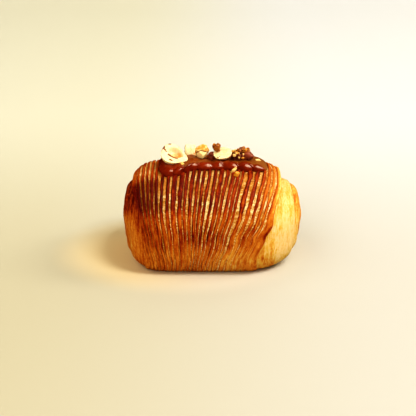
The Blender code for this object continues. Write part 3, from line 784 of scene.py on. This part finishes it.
def light_bands(grid):
    """Width of the light bands as a share of the ribs' spacing, and how it fades down the sides."""
    band = np.interp(grid.nearest, np.arange(1, RIB_COUNT), BAND_SHARES)
    waver = 0.35 * noise(grid.per_groove, (0.5, 7.0, 2.0), 3)
    waver = waver + 0.18 * noise(grid.per_groove, (0.5, 2.4, 2.0), 4)
    last_turn = 94 - 12 * fading(3, 8, grid.rib) + 7 * smoothstep(11, 16, grid.rib)
    fade = 1 - 0.5 * smoothstep(last_turn - 32, last_turn + 2, grid.turn)
    fade = fade * (1 - 0.75 * smoothstep(21, 25, grid.rib) * smoothstep(76, 92, grid.turn))
    return band * (1 + waver), fade


def wrap_lift(grid, band, fade):
    floor = np.maximum(0.5 * band * (0.45 + 0.55 * fade), 0.05)
    profile = smoothstep(0.55, 1.5, np.abs(grid.from_groove) / floor)
    rounding = 0.14 + 0.26 * grid.on_side
    profile = profile * (1 - rounding + rounding * np.sin(math.pi * (grid.rib % 1)))
    height = 1 - (1 - RIB_FADE) * smoothstep(*RIB_FADE_TURN, from_crown(grid.angle))
    shallow = (1 - 0.5 * grid.on_side) * (1 - 0.45 * grid.on_side * (1 - np.clip(grid.uneven, 0, 1)))
    depth = GROOVE_DEPTH * (0.45 + 0.55 * height) * shallow
    on_rim = fading(RIM_ROUNDING, 2 * RIM_ROUNDING, grid.from_rim)
    rim_round = np.sqrt(np.clip(1 - (1 - np.clip(grid.from_rim / RIM_ROUNDING, 0, 1)) ** 2, 0, 1))
    relief = np.maximum(profile * (1 - on_rim), on_rim * (0.35 + 0.65 * rim_round))
    return RIB_HEIGHT * height - depth * (1 - relief)


def wrap_bumps(grid, points):
    fine = (0.05 + 0.07 * grid.blistered) * noise(points, 1.1, 7)
    bumps = 0.1 * noise(points, 5.0, 5) + 0.07 * noise(points, 2.2, 6) + fine
    return bumps * smoothstep(0.0, 0.5, grid.from_rim)


def wrap_browning_and_shade(grid, points):
    # Painted shade on the wall just right of each groove, which faces away from the light, and a fainter dark
    # line on its left
    painted_shade_right_of_groove = 0.2 * grid.uneven * patch(grid.from_groove, 0.19, 0.1)
    left_edge = 0.05 * patch(grid.from_groove, -0.22, 0.09)
    marks = 0.07 * noise(grid.flow, (0.37, 3.0, 2.0), 24)
    burnt = patch(grid.rib, 13.0, 4.0) * patch(grid.turn, 87, 9)
    burnt = burnt * (0.5 + noise(grid.flow, (0.8, 7.0, 2.0), 8))
    blotches = grid.blistered * fading(96, 108, grid.turn) * noise(grid.flow, (0.45, 6.0, 2.0), 18)
    return (
        varied(0.8, WRAP_BROWNING, grid.rib, grid.turn)
        + grid.on_side * (painted_shade_right_of_groove + left_edge + marks - 0.04)
        + 0.12 * burnt + 0.08 * blotches + 0.05 * noise(points, 9.0, 9)
        - 0.06 * fading(0.2, 1.0, grid.from_rim) + right_rim_browning(grid)
    )


def right_rim_browning(grid):
    """A dark and a pale line along the right rim over the crown, and a dark one at its foot."""
    upper = 0.16 * patch(grid.from_rim, 0.75, 0.14) - 0.16 * patch(grid.from_rim, 0.25, 0.2)
    lower = 0.2 * patch(grid.from_rim, 0.12, 0.22)
    lines = upper * fading(60, 80, grid.turn) + lower * smoothstep(74, 84, grid.turn)
    return (grid.rib > RIB_COUNT / 2) * lines


def wrap_gold_and_sheen(grid, points):
    gold_and_sheen = varied(0.5, WRAP_GOLD_AND_SHEEN, grid.rib, grid.turn)
    return gold_and_sheen + 0.14 * noise(points, 3.0, 19) + 0.12 * noise(grid.per_groove, (0.5, 6.0, 2.0), 20)


def end_surface(station, angle, around, facing, side):
    """A bulging end: its columns go from under the wrap's edge, at station 0, in towards the tip."""
    tip, power, rounding = end_form(angle, side)
    layers_in = np.maximum(station - 1, 0) + FOLD_SHIFT * np.sin(angle)
    fold_line = np.where(side < 0, *FOLD_PHASE) - FOLD_PITCH * layers_in
    rim = (1 - (wrap_edge(angle, side) / tip) ** power) ** (1 / rounding)
    share = between((rim, fold_line), np.minimum(station, 1))
    layer = np.where(station < 1, np.maximum((fold_line - share) / FOLD_PITCH, FOLD_BEFORE), station - 1)

    x = side * tip * (1 - share**rounding) ** (1 / power)
    lift = fold_lift(station, layer, share, angle, side)
    flow = stacked(share * HALF_DEPTH, around, facing + 10 * side)
    leaves = 0.1 * noise(flow, (1.3, 16.0, 3.0), 11) + 0.06 * noise(flow, (0.7, 7.0, 2.0), 12)
    points = raised(x, angle, lift)
    bumps = leaves + 0.1 * noise(points, 6.0, 13) + 0.04 * noise(points, 1.3, 14)
    points = raised(x, angle, lift + bumps * smoothstep(0, 0.3, station))
    return {
        "points": points,
        "rib": np.full_like(x, 0.5),
        "groove": np.zeros_like(x),
        "across_mm": share * HALF_DEPTH * END_STREAKS + 200 * side,
        "browning_and_shade": end_browning_and_shade(station, layer, share, np.degrees(from_crown(angle)), flow, points, side),
        "gold_and_sheen": np.zeros_like(x),
        "streaky": np.full_like(x, 1.5),
    }


def fold_lift(station, layer, share, angle, side):
    foot = smoothstep(*WRAP_STEP_TURN, from_crown(angle))
    out = smoothstep(0, 1, station)
    fold = np.abs(np.sin(math.pi * layer)) ** FOLD_ROUNDNESS - FOLD_MEAN
    depth = between(FOLD_DEPTH, foot) * fold * out * smoothstep(0, FOLD_FADE, share)
    slope = np.where(side < 0, *FOLD_SLOPE) * (1 - foot) * np.sin(math.pi * np.minimum(station, 1))
    return depth - slope - between(WRAP_STEP, foot) * (1 - out)


def end_browning_and_shade(station, layer, share, turn, flow, points, side):
    # Painted shade in the creases between the folded layers
    painted_crease_shade = patch(layer - np.rint(layer), 0.0, 0.09) * smoothstep(0.25, 0.6, station)
    # Painted shade just under the wrap's rim
    painted_shade_under_rim = fading(0.0, 0.35, station)
    edges = sum(patch(share, place, 0.014) for place in END_LEAVES)
    if side > 0:
        low = smoothstep(84, 108, turn)
        browning_and_shade = varied(0.08, RIGHT_END_BROWNING, share, turn)
        browning_and_shade = browning_and_shade + 0.16 * painted_crease_shade * (1 - 0.6 * low) + 0.08 * edges + (0.08 + 0.1 * low) * painted_shade_under_rim
    else:
        browning_and_shade = left_end_browning(share, turn, flow) + 0.12 * painted_crease_shade + 0.1 * edges + 0.08 * painted_shade_under_rim
    browning_and_shade = browning_and_shade + 0.05 * noise(flow, (1.1, 24.0, 3.0), 15) + 0.03 * noise(flow, (2.8, 30.0, 3.0), 17)
    return browning_and_shade + 0.02 * noise(points, 5.0, 16)


def left_end_browning(share, turn, flow):
    """Dark and striped at the crown, paler from a ragged line down."""
    ragged = turn + 12 * noise(flow, (1.2, 7.0, 3.0), 28) - 50 * (share - 0.82)
    browning_and_shade = 0.7 - 0.28 * smoothstep(53, 92, ragged)
    browning_and_shade = browning_and_shade + 0.1 * fading(0.3, 0.6, share) * smoothstep(70, 90, turn)
    wander = 0.015 * noise(flow * (1, 1, 0), (9.0, 12.0, 3.0), 27)
    stripes = np.sin(2 * math.pi * (share + wander) / END_STRIPE_PITCH)
    return browning_and_shade + 0.15 * stripes * smoothstep(0.62, 0.68, share) * fading(50, 74, ragged)


def make_crust(material):
    surface = crust_surface()
    columns, rows = surface["rib"].shape
    tips = [(-END_REACH[0], 0, END_CENTRE_Z), (END_REACH[1], 0, END_CENTRE_Z)]
    points = np.concatenate([surface.pop("points").reshape(-1, 3), tips])
    attributes = {}
    for key, value in surface.items():
        ends = (value[0].mean(), value[-1].mean())
        attributes[key] = np.concatenate([value.ravel(), ends])
    return make_piece("crust", points, tube_faces(columns, rows), material, "croissant", attributes)


# ---- the chocolate

GLAZE_CENTRE_X = (LOBE_VALLEYS[0] + LOBE_VALLEYS[-1]) / 2
GLAZE_HALF_LENGTH = (LOBE_VALLEYS[-1] - LOBE_VALLEYS[0]) / 2


def lobe(x):
    """1 in the middle of a lobe of the chocolate's rim, 0 in the valley between two."""
    valleys = np.array(LOBE_VALLEYS)
    i = np.clip(np.searchsorted(valleys, x, side="right") - 1, 0, len(valleys) - 2)
    across = np.clip(2 * (x - valleys[i]) / (valleys[i + 1] - valleys[i]) - 1, -1, 1)
    return np.sqrt(1 - across**2)


def glaze_rim(around):
    x = GLAZE_CENTRE_X + GLAZE_HALF_LENGTH * signed_power(np.cos(around), 2 / GLAZE_SQUARENESS)
    lobe_middles = [(a + b) / 2 for a, b in zip(LOBE_VALLEYS, LOBE_VALLEYS[1:])]
    front = GLAZE_CENTRE_Y + np.interp(x, lobe_middles, LOBE_FRONTS)
    back = np.interp(x, lobe_middles, LOBE_BACKS) - GLAZE_CENTRE_Y
    reach = np.where(np.sin(around) < 0, front, back) - LOBE_DEPTH * (1 - lobe(x))
    return x, GLAZE_CENTRE_Y + reach * signed_power(np.sin(around), 2 / GLAZE_SQUARENESS)


def even_rim():
    fine = np.linspace(0, 2 * math.pi, RIM_SAMPLES)
    x, y = glaze_rim(fine)
    length = np.concatenate([[0], np.cumsum(np.hypot(np.diff(x), np.diff(y)))])
    around = np.interp(np.arange(GLAZE_ROWS) / GLAZE_ROWS * length[-1], length, fine)
    return glaze_rim(around[None, :])


def glaze_columns(bead):
    """Over the top, round the rim's bead and back beneath: how far out, and how thick, as shares."""
    top = np.linspace(0, 1, GLAZE_TOP_COLUMNS + 1)[1:-1, None] ** GLAZE_TOP_CROWDING
    turn = np.linspace(math.pi / 2, -BEAD_UNDERCUT, GLAZE_BEAD_COLUMNS)[:, None]
    under = np.array(GLAZE_UNDER_REACH)[:, None] * (1 - bead + bead * math.cos(BEAD_UNDERCUT))
    waist = math.sin(BEAD_UNDERCUT) / (1 + math.sin(BEAD_UNDERCUT))
    top = top * (1 - bead)
    reach = np.concatenate([top, 1 - bead + bead * np.cos(turn), under])
    round_bead = waist + (1 - waist) * np.sin(turn) + 0 * bead
    return reach, np.concatenate([np.ones_like(top), round_bead, np.zeros_like(under)])


def glaze_thickness(x, y, reach):
    flat = stacked(x, y, 0 * x)
    ridges = (lobe(x) - 0.75) * smoothstep(0.15, 0.8, reach)
    thickness = varied(GLAZE_THICKNESS, GLAZE_SWELLS, x, y) + LOBE_SWELL * ridges
    thickness = thickness + 0.22 * noise(flat, 9.0, 21) + 0.07 * noise(flat, 3.2, 22)
    for size, place, share in BANKED:
        away = np.hypot((x - place[0]) / size[0], (y - place[1]) / size[1]) * 2 / share
        thickness = thickness + BANK_HEIGHT * np.exp(-np.maximum(away - 0.9, 0) * 5.0)
    return thickness


def make_glaze(material):
    rim_x, rim_y = even_rim()
    bead = BEAD_WIDTH / np.hypot(rim_x - GLAZE_CENTRE_X, rim_y - GLAZE_CENTRE_Y)
    reach, swell = glaze_columns(bead)
    x = GLAZE_CENTRE_X + reach * (rim_x - GLAZE_CENTRE_X)
    y = GLAZE_CENTRE_Y + reach * (rim_y - GLAZE_CENTRE_Y)
    z = crown_height(x, y) - GLAZE_SINK + (glaze_thickness(x, y, reach) + GLAZE_SINK) * swell
    centre = np.array([[GLAZE_CENTRE_X], [GLAZE_CENTRE_Y]])
    bed = crown_height(*centre)[0]
    heights = (bed + glaze_thickness(*centre, np.zeros(1))[0], bed - GLAZE_SINK)
    poles = [(GLAZE_CENTRE_X, GLAZE_CENTRE_Y, height) for height in heights]
    points = np.concatenate([stacked(x, y, z).reshape(-1, 3), poles])
    # Where the top and the right slope are dull and take the painted sheen of the backdrop
    dull_with_painted_sheen = 0.6 * fading(0.55, 0.8, reach) + smoothstep(19, 26, x) * smoothstep(-7.5, -3.5, y)
    dull_with_painted_sheen = np.clip(dull_with_painted_sheen * (0.8 + 0.4 * noise(stacked(x, y, 0 * x), 3.0, 25)), 0, 1)
    values = {"dull_with_painted_sheen": np.append(dull_with_painted_sheen.ravel(), [0.6, 0.6])}
    faces = tube_faces(*x.shape)
    return make_piece("chocolate", points, faces, material, "chocolate_glaze", values)


# ---- nuts and crumbs


def turned(points, turn):
    return points @ np.array(Euler([math.radians(a) for a in turn]).to_matrix()).T


def make_nut_half(name, replaces, material, size, place, turn, hollow, point, taper, look):
    """A split hazelnut, whose hollowed cut face faces up before it is turned."""
    tilt = (np.arange(1, NUT_COLUMNS) / NUT_COLUMNS * math.pi)[:, None]
    around = (np.arange(NUT_ROWS) / NUT_ROWS * 2 * math.pi)[None, :]
    x, y = np.sin(tilt) * np.cos(around), np.sin(tilt) * np.sin(around)
    away = np.hypot(x - NUT_HOLLOW_PLACE[0], (y - NUT_HOLLOW_PLACE[1]) * NUT_HOLLOW_NARROWNESS)
    face = -hollow * fading(*NUT_HOLLOW_REACH, away)
    unit = stacked(x, y, np.where(tilt < math.pi / 2, face, np.cos(tilt)))
    points = nut_points(unit, tilt, size, point, taper, look["seed"])
    points = np.concatenate([points.reshape(-1, 3), [(0, 0, -hollow * size[2]), (0, 0, -size[2])]])
    points = turned(points, turn) + np.array(place)
    skin, deep_tone_and_hollow_shade = nut_colours(unit, tilt, around, away, **look)
    ends = [0.6 * look["hollow_shade_depth"], 0]
    values = {"skin": np.append(skin.ravel(), [0, 0]), "hollow": np.append(deep_tone_and_hollow_shade.ravel(), ends)}
    faces = tube_faces(NUT_COLUMNS - 1, NUT_ROWS)
    return make_piece(name, points, faces, material, replaces, values)


def nut_points(unit, tilt, size, point, taper, seed):
    x, y, z = np.moveaxis(unit, -1, 0)
    length = 1 + point * np.maximum(x, 0) ** 3
    half = np.array([size[0] / (2 + point), size[1] / 2, size[2]])
    points = stacked(x * length, y * (2 - length) * (1 - taper * x), z) * half
    outward = unit / np.maximum(np.linalg.norm(unit, axis=-1, keepdims=True), 0.2)
    rim = patch(np.degrees(tilt), 90, 9)
    push = 0.22 * noise(points, 4.0, seed) + 0.09 * noise(points, 1.6, seed + 1) - 0.18 * rim
    return points + outward * (push * np.where(tilt < math.pi / 2, 0.5, 1.0))[..., None]


def nut_colours(unit, tilt, around, away, seed, hollow_shade_depth, brim, skin_at):
    x, y, _ = np.moveaxis(unit, -1, 0)
    face, turn = tilt < math.pi / 2, np.degrees(around)
    skin = 0 * x
    for middle, spread in skin_at:
        skin = np.maximum(skin, np.exp(-(((unit - np.array(middle)) / np.array(spread)) ** 2).sum(-1)))
    edge = away + 0.05 * noise(unit, 0.3, seed + 2)
    near = smoothstep(182, 212, turn) * fading(305, 345, turn)
    ragged = 1.05 + 0.3 * noise(unit, 0.25, seed + 4)
    skin = np.maximum(skin, brim * face * patch(edge, 0.62, 0.19) * near * ragged)
    # Painted shade in a half's hollow, deeper towards one side
    deep_tone_and_hollow_shade = fading(0.35, 0.85, edge) * hollow_shade_depth * (0.34 + 0.62 * smoothstep(-0.5, 0.5, x - 0.6 * y))
    # The whole cut face is also painted deeper than the dome: painted shade that evens out the light falling
    # on the face and not on the dome
    return skin, face * np.maximum(deep_tone_and_hollow_shade, 0.36 + 0.08 * noise(unit, 0.3, seed + 5))


def broken_points(size, place, seed, detail=4, grain=0.07, squareness=2, chips=CHIP_COUNT):
    """A broken piece, chipped where the solid of the same seed is: points, faces and unit points."""
    random_source = random.Random(seed)
    shape = bmesh.new()
    bmesh.ops.create_icosphere(shape, subdivisions=detail, radius=1.0)
    points = np.array([vertex.co for vertex in shape.verts])
    faces = [[vertex.index for vertex in face.verts] for face in shape.faces]
    shape.free()
    uneven = 1.03 + grain * noise(points, 0.55, seed) + 0.5 * grain * noise(points, 0.22, seed + 9)
    uneven = uneven * (np.abs(points) ** squareness).sum(-1) ** (-1 / squareness)
    points = points * uneven[:, None]
    for _ in range(chips):
        facing = Vector([random_source.gauss(0, 1) for _ in range(3)]).normalized()
        limit = random_source.uniform(*CHIP_DEPTH)
        beyond = np.maximum(points @ np.array(facing) - limit, 0)
        points = points - beyond[:, None] * np.array(facing) * CHIP_SHARPNESS
    return points * np.array(size) / 2 + np.array(place), faces, points


def make_roasted_nut(material):
    """The golden broken nut: pale flesh in front, and over it, along an arched edge, some skin; down its left
    side, painted shade in the skin's brown.
    """
    points, faces, unit = broken_points(*ROASTED_PIECE, detail=5, grain=0.11)
    x, y, z = unit.T
    over = z - 0.42 + 0.5 * x**2 + 0.1 * noise(unit, 0.35, 31) + 0.8 * smoothstep(-0.2, 0.3, y)
    skin = patch(over, 0.0, 0.08) * (0.9 + 0.3 * noise(unit, 0.3, 32))
    # Brown down the left side below the arch: painted shade on the side away from the light, in the skin's
    # colour
    skin = skin + 0.9 * patch(x, -0.95, 0.16) * (over < 0)
    deep_tone_and_hollow_shade = 0.1 + smoothstep(0.0, 0.08, over) * (0.62 + 0.6 * noise(unit, 0.22, 33))
    values = {"skin": skin, "hollow": deep_tone_and_hollow_shade}
    return make_piece("nut_roasted", points, faces, material, "hazelnut_piece_roasted", values)


def make_pale_nut(material):
    """The pale block behind: bare flesh with upright fibres."""
    points, faces, unit = broken_points(*PALE_PIECE, detail=5, grain=0.04, squareness=5, chips=2)
    fibres = 0.26 + 0.5 * noise(unit, (0.12, 0.12, 1.6), 34)
    values = {"skin": 0.6 * patch(unit[:, 0], -0.95, 0.14), "hollow": fibres}
    return make_piece("nut_pale", points, faces, material, "hazelnut_piece_pale", values)


def crumb(size, place, seed, tone):
    points, faces, _ = broken_points(size, place, seed, detail=3, grain=0.15)
    return points, faces, tone


def merged(parts):
    points, faces, tones, count = [], [], [], 0
    for part_points, part_faces, tone in parts:
        points.append(part_points)
        faces += [[i + count for i in face] for face in part_faces]
        tones.append(np.full(len(part_points), tone))
        count += len(part_points)
    return np.concatenate(points), faces, np.concatenate(tones)


def make_praline(material):
    """A core and nuggets under crumbs of many tones, and one bare chunk."""
    random_source = random.Random(PRALINE_SEED)
    parts = []
    for piece in (PRALINE_CORE, *PRALINE_NUGGETS):
        _, middle, _ = piece
        points, faces, _ = broken_points(*piece)
        if piece is PRALINE_CHUNK:
            parts.append((points, faces, PRALINE_CHUNK_TONE))
            continue
        # Painted shade in the gaps between the crumbs
        parts.append((points, faces, PRALINE_GAP_SHADE_TONE))
        for _ in range(PRALINE_CORE_CRUMBS if piece is PRALINE_CORE else PRALINE_NUGGET_CRUMBS):
            place = points[random_source.randrange(len(points))]
            if place[2] < middle[2] - PRALINE_BARE_BELOW:
                continue
            size = [random_source.uniform(*PRALINE_CRUMB_SIZE) for _ in range(3)]
            tone = random_source.choice(PRALINE_CRUMB_TONES)
            parts.append(crumb(size, place, random_source.randrange(CRUMB_SEEDS), tone))
    points, faces, tones = merged(parts)
    return make_piece("praline", points, faces, material, "praline_crumbs", {"tone": tones})


def make_caramel(material):
    random_source = random.Random(CARAMEL_SEED)
    parts = []
    for piece, tone in zip((CARAMEL_CORE, *CARAMEL_CRYSTALS), CARAMEL_TONES):
        points, faces, _ = broken_points(*piece, grain=0.12)
        parts.append((points, faces, tone))
        for _ in range(CARAMEL_CRUMBS):
            place = points[random_source.randrange(len(points))]
            size = [random_source.uniform(*CARAMEL_CRUMB_SIZE) for _ in range(3)]
            seed = random_source.randrange(CRUMB_SEEDS)
            parts.append(crumb(size, place, seed, random_source.uniform(*CARAMEL_CRUMB_TONES)))
    points, faces, tones = merged(parts)
    return make_piece("caramel", points, faces, material, "caramel_crystals", {"tone": tones})


def make_bits(material, carriers):
    trees = {}
    for name, carrier in carriers.items():
        places = [vertex.co.to_tuple() for vertex in carrier.data.vertices]
        trees[name] = BVHTree.FromPolygons(places, [face.vertices[:] for face in carrier.data.polygons])
    for name, carrier, size, (x, y, rise), turn, seed, tone in BITS:
        points, faces, _ = broken_points(size, (0, 0, 0), seed, grain=0.12)
        surface = trees[carrier].ray_cast(Vector((x * MM, y * MM, ABOVE)), Vector((0, 0, -1)))[0]
        points = turned(points, turn) + np.array([x, y, rise + surface.z / MM])
        make_piece(name, points, faces, material, None, {"tone": np.full(len(points), tone)})


# ---- light, floor and camera

CAMERA_TARGET = Vector((-2.1, 0, 28)) * MM
CAMERA_DISTANCE = 589 * MM
CAMERA_ELEVATION = 21.7  # degrees
CAMERA_LENS = 85  # mm, on a sensor of this width
CAMERA_SENSOR = 36
CAMERA_CLIP = (0.01, 20)  # metres

# Area lights that face the pastry: name, azimuth and elevation in degrees, distance, size in metres, power in
# watts, colour, whether reflections show them, and whether they light more than highlights
LIGHTS = (
    ("key", 100, 38, 3.0, (0.9, 0.9), 25.0, (1.0, 0.98, 0.93), True, True),
    ("window", 58, 58, 2.4, (0.6, 1.0), 36.0, (1.0, 0.97, 0.92), False, True),
    ("shine", 85, 60, 2.4, (2.4, 1.5), 108.0, (0.9, 1.0, 0.74), True, False),
    ("left", -80, 50, 2.5, (2.0, 2.0), 12.0, (1.0, 0.95, 0.84), False, True),
    ("fill", -25, 30, 3.0, (2.0, 2.0), 24.0, (1.0, 0.96, 0.9), False, True),
)
WORLD_COLOUR = (1.0, 0.78, 0.44, 1.0)
WORLD_STRENGTH = 0.34

# The floor's colour at the left and the right, in front of the pastry and far behind it, and of a painted
# pool of bounce light beneath it
# The floor is painted darker towards the front and warmer towards the left: painted shade
FLOOR_NEAR = ((0.465, 0.44, 0.33), (0.51, 0.505, 0.475))
FLOOR_FAR = ((0.59, 0.59, 0.5), (0.6, 0.62, 0.645))
# The painted pool of bounce light lifts and warms the floor in the pastry's shadow, warmest at the left
FLOOR_PAINTED_BOUNCE_LIGHT = ((0.82, 0.66, 0.35), (0.68, 0.64, 0.54))
FLOOR_RIGHTWARDS = (-0.13, 0.13)  # metres over which the left's colour goes over into the right's
FLOOR_BACKWARDS = (-0.06, 0.32)  # and the front's into the back's
GLOW_RIGHTWARDS = (-0.06, 0.01)
GLOW_CENTRE_X = -0.018
GLOW_HALF_SIZE = (0.066, 0.05)
GLOW_EDGE = (1.6, 0.1)  # squared shares of the way out between which it sets in
GLOW_STRENGTH = 0.75
FLOOR_FRONT = -3000.0
FLOOR_BACK = 1500.0  # where the floor has become an upright backdrop
FLOOR_WIDTH = 6000.0
BACKDROP_TOP = 2500.0
BACKDROP_BEND = 700.0
BACKDROP_STEPS = 24


def direction(azimuth, elevation):
    """Towards a place round the pastry: azimuth 0 is the front, 90 its right."""
    a, e = math.radians(azimuth), math.radians(elevation)
    return Vector((math.sin(a) * math.cos(e), -math.cos(a) * math.cos(e), math.sin(e)))


def aim(obj, azimuth, elevation, distance):
    towards = direction(azimuth, elevation)
    obj.location = CAMERA_TARGET + towards * distance
    obj.rotation_euler = (-towards).to_track_quat("-Z", "Y").to_euler()
    bpy.context.scene.collection.objects.link(obj)


def make_light(name, azimuth, elevation, distance, size, power, colour, mirrored, diffuse):
    light = bpy.data.lights.new(name, "AREA")
    light.shape = "RECTANGLE"
    light.size, light.size_y = size
    light.energy = power
    light.color = colour
    obj = bpy.data.objects.new(name, light)
    obj.visible_glossy = mirrored
    obj.visible_diffuse = diffuse
    aim(obj, azimuth, elevation, distance)


def floor_material():
    n = Nodes("floor")
    x, y, _ = (n.node("SeparateXYZ", {"Vector": n.position()}, output=axis) for axis in range(3))
    rightwards = n.fit(x, *FLOOR_RIGHTWARDS)
    ground = n.mix(n.fit(y, *FLOOR_BACKWARDS), n.mix(rightwards, *FLOOR_NEAR), n.mix(rightwards, *FLOOR_FAR))
    # A painted pool of bounce light round and beneath the pastry, lighter and warmer than the floor
    sideways = n.times(n.add(x, -GLOW_CENTRE_X), 1 / GLOW_HALF_SIZE[0])
    back = n.times(y, 1 / GLOW_HALF_SIZE[1])
    way_out = n.add(n.times(sideways, sideways), n.times(back, back))
    beneath = n.times(n.fit(way_out, *GLOW_EDGE), GLOW_STRENGTH)
    colour = n.mix(beneath, ground, n.mix(n.fit(x, *GLOW_RIGHTWARDS), *FLOOR_PAINTED_BOUNCE_LIGHT))
    return n.finish(colour, 0.8, Specular_IOR_Level=0.1)


def make_floor():
    bend_start = FLOOR_BACK - BACKDROP_BEND
    profile = [(FLOOR_FRONT, 0.0), (bend_start, 0.0)]
    for angle in np.linspace(0, math.pi / 2, BACKDROP_STEPS)[1:]:
        profile.append((bend_start + BACKDROP_BEND * math.sin(angle), BACKDROP_BEND * (1 - math.cos(angle))))
    profile.append((FLOOR_BACK, BACKDROP_TOP))
    points = [(x * MM, y * MM, z * MM) for y, z in profile for x in (-FLOOR_WIDTH / 2, FLOOR_WIDTH / 2)]
    faces = [(2 * i, 2 * i + 1, 2 * i + 3, 2 * i + 2) for i in range(len(profile) - 1)]
    mesh = bpy.data.meshes.new("floor")
    mesh.from_pydata(points, [], faces)
    mesh.polygons.foreach_set("use_smooth", [True] * len(mesh.polygons))
    mesh.materials.append(floor_material())
    floor = bpy.data.objects.new("floor", mesh)
    floor.visible_glossy = False
    bpy.context.scene.collection.objects.link(floor)


def make_world():
    world = bpy.data.worlds.new("studio")
    world.use_nodes = True
    background = world.node_tree.nodes["Background"]
    background.inputs["Color"].default_value = WORLD_COLOUR
    background.inputs["Strength"].default_value = WORLD_STRENGTH
    world.cycles_visibility.glossy = False
    bpy.context.scene.world = world


def make_camera():
    camera = bpy.data.cameras.new("camera")
    camera.lens = CAMERA_LENS
    camera.sensor_width = CAMERA_SENSOR
    camera.clip_start, camera.clip_end = CAMERA_CLIP
    obj = bpy.data.objects.new("camera", camera)
    aim(obj, 0, CAMERA_ELEVATION, CAMERA_DISTANCE)
    bpy.context.scene.camera = obj


make_world()
make_floor()
make_camera()
for light in LIGHTS:
    make_light(*light)
bpy.context.scene.view_settings.view_transform = "Standard"
bpy.context.scene.view_settings.look = "High Contrast"

crust = make_crust(crust_material())
chocolate = make_glaze(chocolate_material())
pale_nut = nut_material("pale_nut", *PALE_NUT_TONES)
make_nut_half("nut_half_large", "hazelnut_half_large", pale_nut, **LARGE_HALF, look=LARGE_HALF_LOOK)
make_nut_half("nut_half_small", "hazelnut_half_small", pale_nut, **SMALL_HALF, look=SMALL_HALF_LOOK)
make_roasted_nut(nut_material("roasted_nut", *ROASTED_NUT_TONES))
make_pale_nut(pale_nut)
make_praline(crumb_material("praline", 0.38))
make_caramel(crumb_material("caramel", 0.22))
make_bits(crumb_material("bits", 0.4), {"chocolate": chocolate, "crust": crust})
